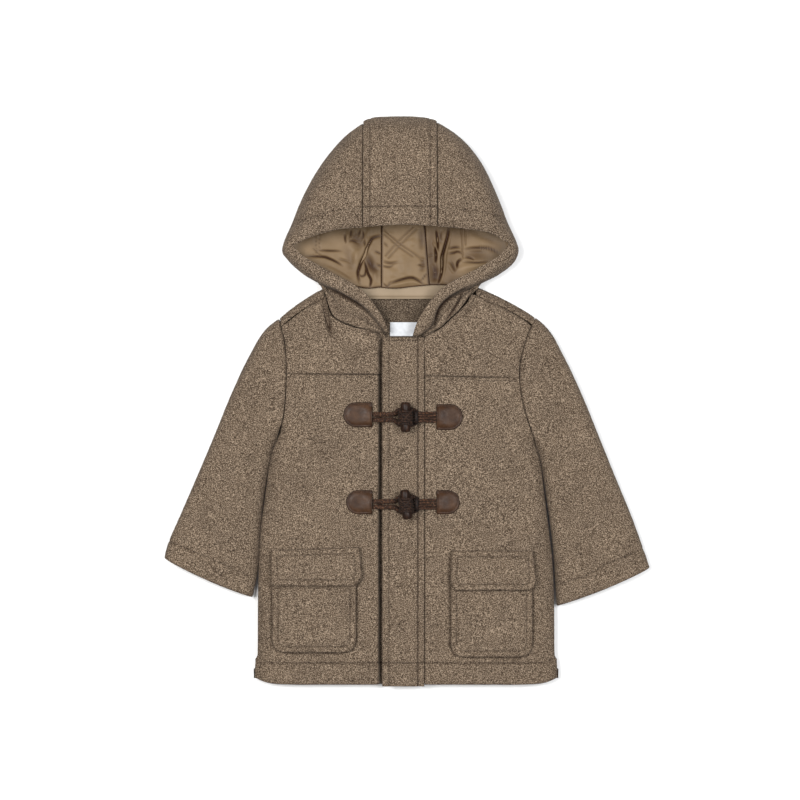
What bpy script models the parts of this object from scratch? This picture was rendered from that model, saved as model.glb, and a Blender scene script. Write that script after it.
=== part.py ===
"""A small child's hooded toggle coat, laid flat on its back.

Metres, +Z up. The coat lies on z = 0 with its hem towards -Y and its hood
towards +Y. The origin is under the middle of its box. Sizes in the tables
below are millimetres; MM turns them into metres.
"""

import math

import bmesh
import bpy
import numpy as np

MM = 0.001

# ------------------------------------------------------------ driving sizes (mm)
WOOL = 3.0  # wall of the felted wool
LINING = 2.0  # quilted satin lining
LEATHER = 1.6
SEAM = 0.3  # gap between pieces at a seam
BODY_HEIGHT = 20.0  # outer height of the laid body
HEM_HEIGHT = 18.5  # outer height at the hem
SIDE_MID = 10.0  # height of the side folds' outermost line
FOLD_REACH = 13.0  # how far in a side fold is rounded
SIDE_GAP = 0.95  # half the seam gap at the side folds
HEM_Y = -283.5
HEM_CORNER = 28.0  # reach of the rounded hem corners
HEM_LIFT = 6.0
YOKE_Y_LEFT = 27.5  # yoke seams at their middle
YOKE_Y_RIGHT = 25.0
PLACKET_LEFT = -25.0
PLACKET_RIGHT = 17.3
PLACKET_TOP = 64.0
PLACKET_WALL = 4.0
PLACKET_HEIGHT = 21.4
UNDERLAP_DROP = 7.0  # how deep the covered front dips beside the placket
UNDERLAP_END = 9.0
SLEEVE_GAP = 1.7  # clearance between a sleeve and the body's side
SHOULDER_TURN = 60.0  # degrees the back wraps over the shoulder fold

# The body's edges: armhole seam from the shoulder tip to the underarm, then side fold.
ARMHOLE_LEFT = ("x", "y"), [
    (-128.0, 83.0), (-125.0, 71.0), (-121.6, 56.0), (-120.4, 28.5),
    (-121.8, 0.0), (-124.0, -18.0), (-128.0, -30.0)]
SIDE_LEFT = ("x", "y"), [
    (-128.0, -30.0), (-137.0, -54.0), (-140.6, -78.0), (-144.5, -106.0),
    (-147.6, -130.0), (-149.2, -160.0), (-150.0, -200.0), (-150.4, -253.0),
    (-152.6, -259.0), (-152.6, -283.5)]
ARMHOLE_RIGHT = ("x", "y"), [
    (128.5, 84.0), (120.5, 67.0), (113.6, 43.0), (112.2, 25.0),
    (115.0, 2.5), (121.0, -20.0), (129.0, -40.0)]
SIDE_RIGHT = ("x", "y"), [
    (129.0, -40.0), (134.5, -62.0), (138.0, -90.0), (143.0, -130.0),
    (146.6, -163.0), (148.2, -205.0), (148.6, -253.0),
    (150.9, -259.0), (150.9, -283.5)]
# Shoulder folds, from the neck to the tip.
SHOULDER_LEFT = ("x", "y"), [
    (-84.0, 113.5), (-101.0, 103.5), (-118.0, 91.5), (-128.0, 83.0)]
SHOULDER_RIGHT = ("x", "y"), [
    (71.0, 115.0), (96.0, 103.0), (117.0, 91.5), (128.5, 84.0)]
# Front neckline seam, from the shoulder down to the centre front.
NECK_LEFT = ("x", "y"), [
    (-81.6, 104.0), (-79.0, 94.5), (-75.6, 86.5), (-70.0, 81.5), (-62.4, 77.9),
    (-50.0, 73.5), (-40.0, 71.0), (-30.0, 68.8), (-20.0, 67.2)]
NECK_RIGHT = ("x", "y"), [
    (64.6, 105.5), (60.0, 98.5), (52.7, 91.1), (42.8, 81.5), (32.8, 72.6), (25.0, 68.2), (17.6, 67.0)]
BACK_NECK_Y = 103.5
# Back neckline seam from the left shoulder to the right one.
BACK_NECK = ("x", "y"), [
    (-84.0, 97.6), (-72.0, 99.8), (-55.0, 102.2), (-25.0, 103.5), (10.0, 103.5),
    (42.0, 102.4), (58.0, 101.2), (71.0, 100.2)]


# ------------------------------------------------------------------- helpers
def points_of(table):
    return np.array(table[1], float)


def along(points, shares):
    """Points at these shares of a line's length."""
    points = np.asarray(points, float)
    step = np.linalg.norm(np.diff(points, axis=0), axis=1)
    run = np.concatenate([[0.0], np.cumsum(step)])
    at = np.asarray(shares, float) * run[-1]
    return np.stack([np.interp(at, run, points[:, k]) for k in range(points.shape[1])], axis=1)


def smooth_line(points, per=8):
    """A Catmull-Rom line through the points."""
    p = np.asarray(points, float)
    p = np.vstack([2 * p[0] - p[1], p, 2 * p[-1] - p[-2]])
    out = []
    for i in range(1, len(p) - 2):
        for k in range(per):
            t = k / per
            out.append(0.5 * ((2 * p[i]) + (p[i + 1] - p[i - 1]) * t
                              + (2 * p[i - 1] - 5 * p[i] + 4 * p[i + 1] - p[i + 2]) * t * t
                              + (3 * p[i] - p[i - 1] - 3 * p[i + 1] + p[i + 2]) * t ** 3))
    out.append(p[-2])
    return np.array(out)


def ease(t):
    t = min(max(t, 0.0), 1.0)
    return t * t * (3 - 2 * t)


def distance_to(line, x, y):
    a, b = line[:-1], line[1:]
    d = b - a
    t = np.clip(((x - a[:, 0]) * d[:, 0] + (y - a[:, 1]) * d[:, 1]) / (d ** 2).sum(1), 0, 1)
    return float(np.sqrt(((a + d * t[:, None] - (x, y)) ** 2).sum(1)).min())


FOLDS = [smooth_line(points_of(t), 6) for t in (SIDE_LEFT, SIDE_RIGHT, SHOULDER_LEFT, SHOULDER_RIGHT)]


def rise(d, reach):
    """0 on a fold's outermost line, 1 on the flat."""
    q = min(max(d / reach, 0.0), 1.0)
    return math.sqrt(max(0.0, 1 - (1 - q) ** 2))


def body_height(y):
    return HEM_HEIGHT + (BODY_HEIGHT - HEM_HEIGHT) * ease((y + 284) / 24)


def front_z(x, y, dip=0.0):
    """Height of the front's outer face."""
    d = min(distance_to(line, x, y) for line in FOLDS)
    z = SIDE_MID + SIDE_GAP + (body_height(y) - SIDE_MID - SIDE_GAP) * rise(d, FOLD_REACH)
    return z - dip * ease((x + 33.5) / 5.0)


def back_z(x, y):
    d = min(distance_to(line, x, y) for line in FOLDS)
    return (SIDE_MID - SIDE_GAP) * (1 - rise(d, FOLD_REACH))


def coons(bottom, top, left, right, us, vs):
    """A patch between four edges; u runs left to right, v bottom to top."""
    b, t = along(bottom, us), along(top, us)
    l, r = along(left, vs), along(right, vs)
    rows = []
    for j, v in enumerate(vs):
        row = []
        for i, u in enumerate(us):
            p = ((1 - v) * b[i] + v * t[i] + (1 - u) * l[j] + u * r[j]
                 - ((1 - u) * (1 - v) * b[0] + u * (1 - v) * b[-1] + (1 - u) * v * t[0] + u * v * t[-1]))
            row.append(p)
        rows.append(row)
    return np.array(rows)


def material(name, colour, roughness):
    m = bpy.data.materials.get(name)
    if m is None:
        m = bpy.data.materials.new(name)
        m.use_nodes = True
        shader = m.node_tree.nodes["Principled BSDF"]
        shader.inputs["Base Color"].default_value = (*colour, 1)
        shader.inputs["Roughness"].default_value = roughness
        shader.inputs["Metallic"].default_value = 0.0
    return m


MATERIALS = {
    "wool": ((0.205, 0.150, 0.105), 0.95),
    "satin": ((0.360, 0.245, 0.150), 0.45),
    "leather": ((0.070, 0.036, 0.020), 0.45),
    "horn": ((0.020, 0.011, 0.008), 0.30),
    "cord": ((0.045, 0.024, 0.015), 0.70),
    "label": ((0.75, 0.78, 0.82), 0.80),
}


def dress(obj, kind, parent=None):
    obj.data.materials.append(material(kind, *MATERIALS[kind]))
    COAT.objects.link(obj)
    obj.parent = parent or ROOT
    return obj


def grid_mesh(bm, rows):
    """Adds a grid primitive to bm, its points moved to the rows."""
    rows = np.asarray(rows, float)
    n, m = rows.shape[0] - 1, rows.shape[1] - 1
    made = bmesh.ops.create_grid(bm, x_segments=m, y_segments=n, size=1.0)
    for v in made["verts"]:
        i = round((v.co.x + 1) / 2 * m)
        j = round((v.co.y + 1) / 2 * n)
        v.co = rows[j, i] * MM


def sheet(name, grids, kind, wall, flip=False, smooth=True):
    """Cloth: one or more grids of outer-face points, welded, with a wall behind them."""
    bm = bmesh.new()
    for rows in grids:
        grid_mesh(bm, rows)
    bmesh.ops.remove_doubles(bm, verts=bm.verts, dist=2e-6)
    if flip:
        bmesh.ops.reverse_faces(bm, faces=bm.faces)
    mesh = bpy.data.meshes.new(name)
    bm.to_mesh(mesh)
    bm.free()
    if smooth:
        mesh.shade_smooth()
    obj = bpy.data.objects.new(name, mesh)
    solid = obj.modifiers.new("wall", "SOLIDIFY")
    solid.thickness = wall * MM
    solid.offset = -1.0
    solid.use_even_offset = False
    return dress(obj, kind)


def plate(name, outline, z, wall, kind):
    """A flat piece from its outline, resting at z."""
    curve = bpy.data.curves.new(name, "CURVE")
    curve.dimensions = "2D"
    curve.fill_mode = "BOTH"
    curve.extrude = wall / 2 * MM
    line = curve.splines.new("POLY")
    line.points.add(len(outline) - 1)
    for p, (x, y) in zip(line.points, outline):
        p.co = (x * MM, y * MM, 0, 1)
    line.use_cyclic_u = True
    obj = bpy.data.objects.new(name, curve)
    obj.location.z = (z + wall / 2) * MM
    return dress(obj, kind)


def rounded(corners, radii, per=4):
    """An outline with its corners rounded; radius 0 keeps a corner sharp."""
    pts = np.array(corners, float)
    out = []
    for i, r in enumerate(radii):
        p, a, b = pts[i], pts[i - 1], pts[(i + 1) % len(pts)]
        if r <= 0:
            out.append(tuple(p))
            continue
        da, db = (a - p) / np.linalg.norm(a - p), (b - p) / np.linalg.norm(b - p)
        half = math.acos(float(np.clip(da @ db, -1, 1))) / 2
        reach = r / math.tan(half)
        start, end = p + da * reach, p + db * reach
        for k in range(per + 1):
            t = k / per
            out.append(tuple((1 - t) ** 2 * start + 2 * t * (1 - t) * p + t * t * end))
    return out


# ------------------------------------------------------------------ the scene
for old in list(bpy.data.objects):
    bpy.data.objects.remove(old, do_unlink=True)
COAT = bpy.data.collections.new("hooded_toggle_coat")
bpy.context.scene.collection.children.link(COAT)
ROOT = bpy.data.objects.new("coat", None)
COAT.objects.link(ROOT)

FOLD_TURNS = [0, 5, 22, 42, 64, 90]  # degrees round a fold at which points lie
FOLD_STEPS = [FOLD_REACH * (1 - math.cos(math.radians(a))) for a in FOLD_TURNS]


# ------------------------------------------------------------- lower fronts
def edge_line(armhole, side, top_y):
    """The body's edge from the hem up to top_y."""
    low = smooth_line(points_of(side), 6)[::-1]
    high = smooth_line(points_of(armhole), 6)[::-1]
    line = np.vstack([low, high[1:]])
    return line[line[:, 1] <= top_y + 1e-6]


def edge_x(line, y):
    return float(np.interp(y, line[:, 1], line[:, 0]))


EDGE_LEFT = edge_line(ARMHOLE_LEFT, SIDE_LEFT, 90)
EDGE_RIGHT = edge_line(ARMHOLE_RIGHT, SIDE_RIGHT, 90)

# Heights of the rows across the body, hem to underarm and up.
ROWS_Y = [HEM_Y, -274.0, -259.0, -253.0, -215.0, -160.0, -106.0, -62.0, -36.0, -20.0, 2.0]


def hem_lift(x, edge, y):
    """How far the rounded hem corner lifts a point."""
    inward = min(abs(x - edge), HEM_CORNER)
    return HEM_LIFT * (1 - inward / HEM_CORNER) ** 2 * ease((-253.0 - y) / 30.0)


def lower_front(name, edge, side, inner_xs, seam_y, dip):
    rows = []
    for y in ROWS_Y + [None]:
        row = []
        base = seam_y(edge_x(edge, YOKE_Y_LEFT)) if y is None else y
        e = edge_x(edge, base)
        xs = [e - side * s for s in FOLD_STEPS]
        # the flat columns are shared out between the fold and the first inner line
        flat = np.linspace(xs[-1], inner_xs[0], 5)[1:-1]
        for x in xs + list(flat) + list(inner_xs):
            yy = (seam_y(x) - SEAM / 2) if y is None else y + hem_lift(x, e, y)
            row.append((x, yy, front_z(x, yy, dip)))
        rows.append(row)
    return rows


def yoke_seam_left(x):
    return YOKE_Y_LEFT + 1.0 * (x + 75) / 45 * -0.4


def yoke_seam_right(x):
    return YOKE_Y_RIGHT - 2.2 * ((x - 17) / 96) + 0.8


rows = lower_front("front_right", EDGE_LEFT, -1.0, [-33.5, -31.0, -28.5, -12.0, UNDERLAP_END], yoke_seam_left, UNDERLAP_DROP)
sheet("front_right", [rows], "wool", WOOL)
rows = lower_front("front_left", EDGE_RIGHT, 1.0, [42.0, PLACKET_RIGHT + SEAM], yoke_seam_right, 0.0)
sheet("front_left", [[row[::-1] for row in rows]], "wool", WOOL)


# -------------------------------------------------------------------- yokes
def inner_edge(points, y0, y1):
    keep = points[(points[:, 1] >= min(y0, y1)) & (points[:, 1] <= max(y0, y1))]
    return keep


def shoulder_seam(table, armhole_edge, side):
    """The line on the front where the back's wrap over the shoulder ends."""
    fold = smooth_line(points_of(table), 6)
    reach = FOLD_REACH * (1 - math.cos(math.radians(SHOULDER_TURN)))
    out = []
    for i in range(0, len(fold), 3):
        a, b = fold[max(i - 1, 0)], fold[min(i + 1, len(fold) - 1)]
        d = (b - a) / np.linalg.norm(b - a)
        n = np.array((d[1], -d[0])) if side > 0 else np.array((-d[1], d[0]))
        out.append(fold[i] + n * (reach + 8 * SEAM))
    return np.array(out)


def yoke(name, side, edge, shoulder, neck, seam_y, centre_x, dip):
    seam_line = shoulder_seam(shoulder, edge, side)  # neck to tip
    arm = smooth_line(points_of(ARMHOLE_LEFT if side < 0 else ARMHOLE_RIGHT), 6)
    tip_y = seam_line[-1, 1] - 1.6
    arm = arm[(arm[:, 1] < tip_y - 0.5)]
    neckline = smooth_line(points_of(neck), 4)
    neckline = neckline[neckline[:, 1] < seam_line[0, 1] - 0.5]
    tip = np.array((edge_x(edge, tip_y), tip_y))
    neck_end = np.array((neckline[0, 0], seam_line[0, 1]))
    foot_out_y = seam_y(edge_x(edge, YOKE_Y_LEFT)) + SEAM / 2
    foot_out = np.array((edge_x(edge, foot_out_y), foot_out_y))
    foot_in = np.array((centre_x, seam_y(centre_x) + SEAM / 2))
    outer = np.vstack([[foot_out], arm[arm[:, 1] > foot_out_y + 1][::-1], [tip]])
    inner = np.vstack([[foot_in], neckline[::-1], [neck_end]])
    top = np.vstack([[tip], seam_line[::-1][1:-1], [neck_end]])
    top[-1, 1] -= 0.8
    bottom = np.linspace(foot_out, foot_in, 12)
    bottom[1:-1, 1] = [seam_y(x) + SEAM / 2 for x in bottom[1:-1, 0]]
    us = [0, 0.1, 0.25, 0.42, 0.6, 0.75, 0.87, 0.9, 0.94, 1.0] if side < 0 else np.linspace(0, 1, 9)
    vs = [0, 0.18, 0.36, 0.54, 0.7, 0.82, 0.92, 1.0]
    plan = coons(bottom, top, outer, inner, us, vs)
    rows = [[(x, y, front_z(x, y, dip)) for x, y in row] for row in plan]
    if side > 0:
        rows = [row[::-1] for row in rows]
    return sheet(name, [rows], "wool", WOOL)


yoke("yoke_right", -1, EDGE_LEFT, SHOULDER_LEFT, NECK_LEFT, yoke_seam_left, -20.0, UNDERLAP_DROP)
yoke("yoke_left", 1, EDGE_RIGHT, SHOULDER_RIGHT, NECK_RIGHT, yoke_seam_right, PLACKET_RIGHT + SEAM, 0.0)


# --------------------------------------------------------------------- back
def back_panel():
    left_tip, right_tip = -128.0, 128.5
    neck_l, neck_r = BACK_NECK[1][0][0], BACK_NECK[1][-1][0]
    fold_l = smooth_line(points_of(SHOULDER_LEFT), 6)
    fold_r = smooth_line(points_of(SHOULDER_RIGHT), 6)
    dip_line = smooth_line(points_of(BACK_NECK), 6)
    shares_l, shares_r = [0.0, 0.34, 0.68, 1.0], [0.0, 0.34, 0.68, 1.0]
    top_l = along(fold_l, shares_l)[::-1]  # tip to neck
    top_r = along(fold_r, shares_r)  # neck to tip
    mid_x = [-66.0, -44.0, -20.0, 5.0, 28.0, 50.0]
    slope_l, slope_r = 0.822, 0.88  # each shoulder's run for each unit of its edge
    base = []  # the top line of the flat part
    for x, y in top_l:
        base.append((x, y - FOLD_REACH / slope_l))
    for x in mid_x:
        base.append((x, float(np.interp(x, dip_line[:, 0], dip_line[:, 1])) - SEAM / 2))
    for x, y in top_r:
        base.append((x, y - FOLD_REACH / slope_r))
    base = np.array(base)
    base[0, 0] = edge_x(EDGE_LEFT, base[0, 1])
    base[-1, 0] = edge_x(EDGE_RIGHT, base[-1, 1])
    n = len(base)
    share = (base[:, 0] - base[0, 0]) / (base[-1, 0] - base[0, 0])
    ys = ROWS_Y + [21.0, 40.0, 56.0]
    rows = []
    for y in ys:
        l, r = edge_x(EDGE_LEFT, y), edge_x(EDGE_RIGHT, y)
        xs = [l + s for s in FOLD_STEPS[:-1]]
        flat = l + FOLD_REACH + (r - l - 2 * FOLD_REACH) * (share[1:-1] - share[1]) / (share[-2] - share[1])
        xs += list(flat) + [r - s for s in FOLD_STEPS[:-1]][::-1]
        rows.append([(x, y + hem_lift(x, l if x < 0 else r, y), back_z(x, y)) for x in xs])
    # the last flat row: the fold columns share the tip's short stretch
    last = []
    k = len(FOLD_STEPS) - 1
    full = [base[0] + (base[1] - base[0]) * s / FOLD_REACH for s in FOLD_STEPS[:-1]]
    full += list(base[1:-1])
    full += [base[-1] + (base[-2] - base[-1]) * s / FOLD_REACH for s in FOLD_STEPS[:-1]][::-1]
    for x, y in full:
        last.append((x, y, back_z(x, y)))
    rows.append(last)
    grids = [rows]
    # the wraps over the shoulder folds
    turns = [90, 64, 40, 16, -10, -35, -SHOULDER_TURN]
    for side, slope, columns, fold in ((-1, slope_l, range(0, k + 3), fold_l), (1, slope_r, range(len(last) - k - 3, len(last)), fold_r)):
        wrap = []
        for a in turns:
            row = []
            for c in columns:
                x0, y0, z0 = last[c]
                y_fold = float(np.interp(x0, *(fold[::-1].T if fold[0, 0] > fold[-1, 0] else fold.T)))
                if a == 90:
                    row.append((x0, y0, z0))
                    continue
                inward = FOLD_REACH * (1 - math.cos(math.radians(a)))
                y = y_fold - inward / slope
                e = edge_x(EDGE_LEFT if side < 0 else EDGE_RIGHT, min(y, 83.0 if side < 0 else 84.0))
                tip = last[0 if side < 0 else -1][0]
                neck = last[k + 2 if side < 0 else len(last) - k - 3][0]
                w = (x0 - neck) / (tip - neck)
                # the neck end stays clear of the hood's side
                x = x0 + (e - tip) * w + side * 2.8 * (1 - w) * min(1.0, (90 - a) / 40)
                y_fold = float(np.interp(x, *(fold[::-1].T if fold[0, 0] > fold[-1, 0] else fold.T)))
                y = y_fold - inward / slope
                s = math.sin(math.radians(a))
                top = body_height(y) - SIDE_MID
                z = SIDE_MID - SIDE_MID * s if s > 0 else SIDE_MID - top * s
                row.append((x, y, z))
            wrap.append(row)
        grids.append(wrap)
    return sheet("back", grids, "wool", WOOL, flip=True)


back_panel()

# ------------------------------------------------------------------ placket
PLACKET_ROWS = [PLACKET_TOP, 40.0, 10.0, -40.0, -100.0, -160.0, -220.0, -255.0, -285.0]
rows = []
for y in PLACKET_ROWS[::-1]:
    row = []
    for x in (PLACKET_LEFT, PLACKET_LEFT + 1.2, -10.0, 4.0, PLACKET_RIGHT):
        edge = 0.5 if x == PLACKET_LEFT else 0.0
        row.append((x, y, PLACKET_HEIGHT - edge - (1 - ease((y + 284) / 24)) * 1.0))
    rows.append(row)
sheet("placket", [rows], "wool", PLACKET_WALL)

# ------------------------------------------------------------------ sleeves
# A row per section: outer edge, inner edge, half height, how far the section bows towards the cuff.
SLEEVE_LEFT = ("outer_x", "outer_y", "inner_x", "inner_y", "height", "bow"), [
    (-128.9, 83.0, -128.9, -30.0, 20.0, 0.0),
    (-142.0, 72.0, -132.2, -38.0, 20.0, 0.0),
    (-158.0, 46.0, -136.0, -48.0, 20.0, 1.0),
    (-176.0, 8.0, -139.5, -64.0, 20.0, 2.0),
    (-194.0, -36.0, -143.5, -86.0, 19.5, 3.0),
    (-211.0, -76.0, -147.0, -112.0, 19.0, 3.0),
    (-227.0, -113.0, -149.6, -140.0, 18.0, 3.0),
    (-240.0, -143.0, -151.2, -168.0, 17.0, 3.0),
    (-243.6, -157.5, -156.5, -196.5, 16.0, 2.5)]
SLEEVE_RIGHT = ("outer_x", "outer_y", "inner_x", "inner_y", "height", "bow"), [
    (129.4, 84.0, 129.9, -40.0, 20.0, 0.0),
    (142.0, 72.0, 131.0, -46.0, 20.0, 0.0),
    (157.0, 46.0, 134.0, -54.0, 20.0, 1.0),
    (175.0, 8.0, 137.5, -70.0, 20.0, 2.0),
    (193.0, -36.0, 141.2, -94.0, 19.5, 3.0),
    (210.0, -78.0, 145.5, -124.0, 19.0, 3.0),
    (226.0, -117.0, 148.6, -152.0, 18.0, 3.0),
    (239.0, -153.0, 150.6, -182.0, 17.0, 3.0),
    (243.8, -167.0, 152.0, -205.0, 16.0, 2.5)]


def sleeve(name, table, armhole, side):
    rows = []
    arm = smooth_line(points_of(armhole), 6)
    top_turns = [0, 22, 45, 68]
    for j, (ox, oy, ix, iy, height, bow) in enumerate(table[1]):
        outer, inner = np.array((ox, oy)), np.array((ix, iy))
        width = np.linalg.norm(inner - outer)
        reach = min(FOLD_REACH, width / 3)
        steps = [reach * (1 - math.cos(math.radians(a))) / width for a in top_turns]
        mid = np.linspace(reach / width, 1 - reach / width, 5)
        shares = steps + list(mid) + [1 - s for s in steps][::-1]
        down = np.array((inner - outer)[::-1]) * (1, -1)
        down = down / np.linalg.norm(down)
        if down[1] > 0:
            down = -down
        half = height / 2
        ring = []
        for part in (1, -1):
            for s in (shares if part > 0 else shares[::-1][1:-1]):
                if j == 0:
                    p = along(arm, [s])[0] + np.array((side * (SLEEVE_GAP + 1.4 * ease(1 - s / 0.2)), 0.0))
                else:
                    p = outer + (inner - outer) * s + down * bow * 4 * s * (1 - s)
                    if j < 3:  # the first sections still follow the armhole's curve
                        chord = arm[0] + (arm[-1] - arm[0]) * s
                        p = p + (along(arm, [s])[0] - chord) * (0.55, 0.18)[j - 1]
                r = rise(min(s, 1 - s) * width, reach)
                ring.append((p[0], p[1], half + part * half * r))
        ring.append(ring[0])
        rows.append(ring)
    return sheet(name, [rows], "wool", WOOL, flip=side < 0)


sleeve("sleeve_right", SLEEVE_LEFT, ARMHOLE_LEFT, -1)
sleeve("sleeve_left", SLEEVE_RIGHT, ARMHOLE_RIGHT, 1)

# ----------------------------------------------------- pockets, flaps, trim
REST_Z = BODY_HEIGHT + SEAM
POCKET_WALL = 2.6
plate("pocket_right", rounded([(-135.0, -180.0), (-135.0, -251.0), (-50.8, -251.0), (-50.8, -180.0)], [0, 14, 14, 0]), REST_Z, POCKET_WALL, "wool")
plate("pocket_left", rounded([(43.6, -183.0), (43.6, -255.4), (125.6, -255.4), (125.6, -183.0)], [0, 14, 14, 0]), REST_Z, POCKET_WALL, "wool")
FLAP_Z = REST_Z + POCKET_WALL + SEAM
plate("pocket_flap_right", rounded([(-136.0, -148.6), (-135.6, -184.0), (-51.0, -184.0), (-44.8, -174.0), (-47.6, -145.4)], [0, 3, 5, 3, 0], 2), FLAP_Z, POCKET_WALL, "wool")
plate("pocket_flap_left", rounded([(44.7, -148.9), (43.4, -178.0), (47.0, -188.4), (125.0, -188.4), (129.0, -180.0), (126.2, -148.9)], [0, 3, 5, 5, 3, 0], 2), FLAP_Z, POCKET_WALL, "wool")


def tongue(straight_x, round_x, y0, y1, per=12):
    """An outline with a straight side, and a half circle at its other end."""
    side = 1 if round_x > straight_x else -1
    r, mid = (y1 - y0) / 2, (y0 + y1) / 2
    out = [(straight_x, y0 + 1.0), (straight_x + side * 1.0, y0)]
    for k in range(per + 1):
        a = math.pi * (k / per - 0.5)
        out.append((round_x - side * r + side * r * math.cos(a), mid + r * math.sin(a)))
    return out + [(straight_x + side * 1.0, y1), (straight_x, y1 - 1.0)]


def leather_patch(name, *outline):
    plate(name, tongue(*outline), REST_Z, LEATHER, "leather")


# name, straight side, round side, lower and upper edge
PATCHES = ("name", "straight_x", "round_x", "y0", "y1"), [
    ("leather_upper_right", -34.6, -63.6, -25.6, -0.8),
    ("leather_upper_left", 29.4, 55.6, -28.4, -2.6),
    ("leather_lower_right", -34.6, -60.8, -112.6, -88.6),
    ("leather_lower_left", 29.4, 52.6, -112.6, -88.6)]
for row in PATCHES[1]:
    leather_patch(*row)

# Toggles: centre, length, tilt in degrees.
TOGGLES = ("name", "x", "y", "z", "length", "tilt"), [
    ("upper", -1.5, -15.6, 31.2, 30.0, 0.0),
    ("lower", -1.0, -102.6, 31.2, 29.5, 6.0)]
CORD_R = 1.15


def toggle(name, x, y, z, length, tilt):
    half = length / 2
    profile = [(0.0, half), (2.6, half - 0.1), (3.6, half - 1.2), (4.5, half * 0.6), (4.1, 3.4),
               (4.1, -3.4), (4.5, -half * 0.6), (3.6, 1.2 - half), (2.6, 0.1 - half), (0.0, -half)]
    mesh = bpy.data.meshes.new(name)
    bm = bmesh.new()
    verts = [bm.verts.new((r * MM, 0, h * MM)) for r, h in profile]
    for a, b in zip(verts, verts[1:]):
        bm.edges.new((a, b))
    bm.to_mesh(mesh)
    bm.free()
    obj = bpy.data.objects.new(name, mesh)
    screw = obj.modifiers.new("turn", "SCREW")
    screw.steps = screw.render_steps = 14
    screw.use_merge_vertices = True
    screw.merge_threshold = 0.00001
    screw.use_normal_calculate = True
    obj.location = (x * MM, y * MM, z * MM)
    obj.rotation_euler = (math.radians(90), 0, math.radians(tilt))
    return dress(obj, "horn")


def tube(name, points, radius, kind):
    curve = bpy.data.curves.new(name, "CURVE")
    curve.dimensions = "3D"
    curve.bevel_depth = radius * MM
    curve.bevel_resolution = 1
    curve.use_fill_caps = True
    line = curve.splines.new("POLY")
    line.points.add(len(points) - 1)
    for p, q in zip(line.points, points):
        p.co = (*(np.array(q) * MM), 1)
    return dress(bpy.data.objects.new(name, curve), kind)


def fastening(name, x, y, z, length, tilt):
    toggle(f"toggle_{name}", x, y, z, length, tilt)
    low = PLACKET_HEIGHT + SEAM + CORD_R  # the loop lies on the placket
    spread = 5.4
    loop = [(-34.2, y + 2.6, REST_Z + CORD_R), (-29.0, y + 2.6, REST_Z + CORD_R + 0.3), (-24.0, y + 2.8, low + 0.2),
            (-18.0, y + 3.4, low + 0.1), (x - 9, y + spread, low + 0.1), (x, y + spread + 1.4, low + 0.1), (x + 8.0, y + spread, low + 0.1),
            (x + 11.0, y + 2.4, low + 0.1), (x + 11.6, y, low + 0.1)]
    loop = loop + [(px, 2 * y - py, pz) for px, py, pz in loop[::-1][1:]]
    tube(f"cord_loop_{name}", smooth_line(loop, 2), CORD_R, "cord")
    ring = 4.1 + 0.35 + CORD_R
    start = [(29.0, y + 2.6, REST_Z + CORD_R + 0.5), (24.0, y + 2.6, REST_Z + CORD_R + 1.2), (17.0, y + 2.5, low + 2.9),
             (12.0, y + 2.4, low + 4.0)]
    turn = []
    for k in range(0, 13):
        a = math.radians(-12 + (384.0) * k / 12)
        turn.append((x + ring * math.cos(a), y + 2.2 - 4.4 * k / 12, z + ring * math.sin(a)))
    end = [(px, 2 * y - py, pz) for px, py, pz in start[::-1]]
    tube(f"cord_attach_{name}", smooth_line(start, 2).tolist() + turn + smooth_line(end, 2).tolist(), CORD_R, "cord")


for row in TOGGLES[1]:
    fastening(*row)

# --------------------------------------------------------------------- hood
# A row per section, from the strip seam at the brim round the corner and down the lip:
# front edge, outermost fold (or the crease over the neck), neck seam.
HOOD_RIGHT = ("fx", "fy", "fz", "ox", "oy", "oz", "rx", "ry", "rz"), [
    (-44.5, 172.5, 46.0, -44.4, 278.5, 15.0, -44.2, 103.4, 0.0),
    (-65.0, 171.0, 44.0, -62.0, 265.5, 15.0, -55.0, 102.8, 0.0),
    (-82.0, 167.5, 40.0, -83.0, 241.5, 14.5, -64.0, 101.6, 0.0),
    (-98.0, 162.5, 35.0, -101.0, 211.5, 14.0, -72.0, 100.4, 0.0),
    (-107.5, 158.0, 31.0, -114.0, 181.5, 14.0, -79.6, 100.6, 1.2),
    (-111.0, 153.0, 28.0, -124.4, 149.5, 14.0, -82.0, 105.8, 4.4),
    (-106.0, 147.5, 27.0, -121.0, 140.5, 13.5, -82.0, 110.8, 7.0),
    (-92.0, 138.5, 26.5, -106.0, 128.5, 13.0, -82.0, 114.2, 11.5),
    (-74.0, 128.5, 26.5, -89.0, 118.8, 16.5, -82.2, 112.8, 16.6),
    (-57.0, 119.5, 27.0, -70.0, 109.0, 20.5, -79.4, 99.0, 19.3),
    (-44.0, 111.0, 27.5, -55.0, 101.0, 21.5, -73.0, 84.8, 20.2),
    (-32.0, 96.5, 27.5, -42.0, 91.5, 22.0, -55.6, 76.2, 20.4),
    (-23.0, 81.5, 26.5, -31.0, 80.5, 22.0, -38.0, 71.4, 20.2),
    (-18.4, 69.2, 21.5, -22.0, 69.0, 19.5, -25.0, 68.6, 15.0)]
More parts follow.
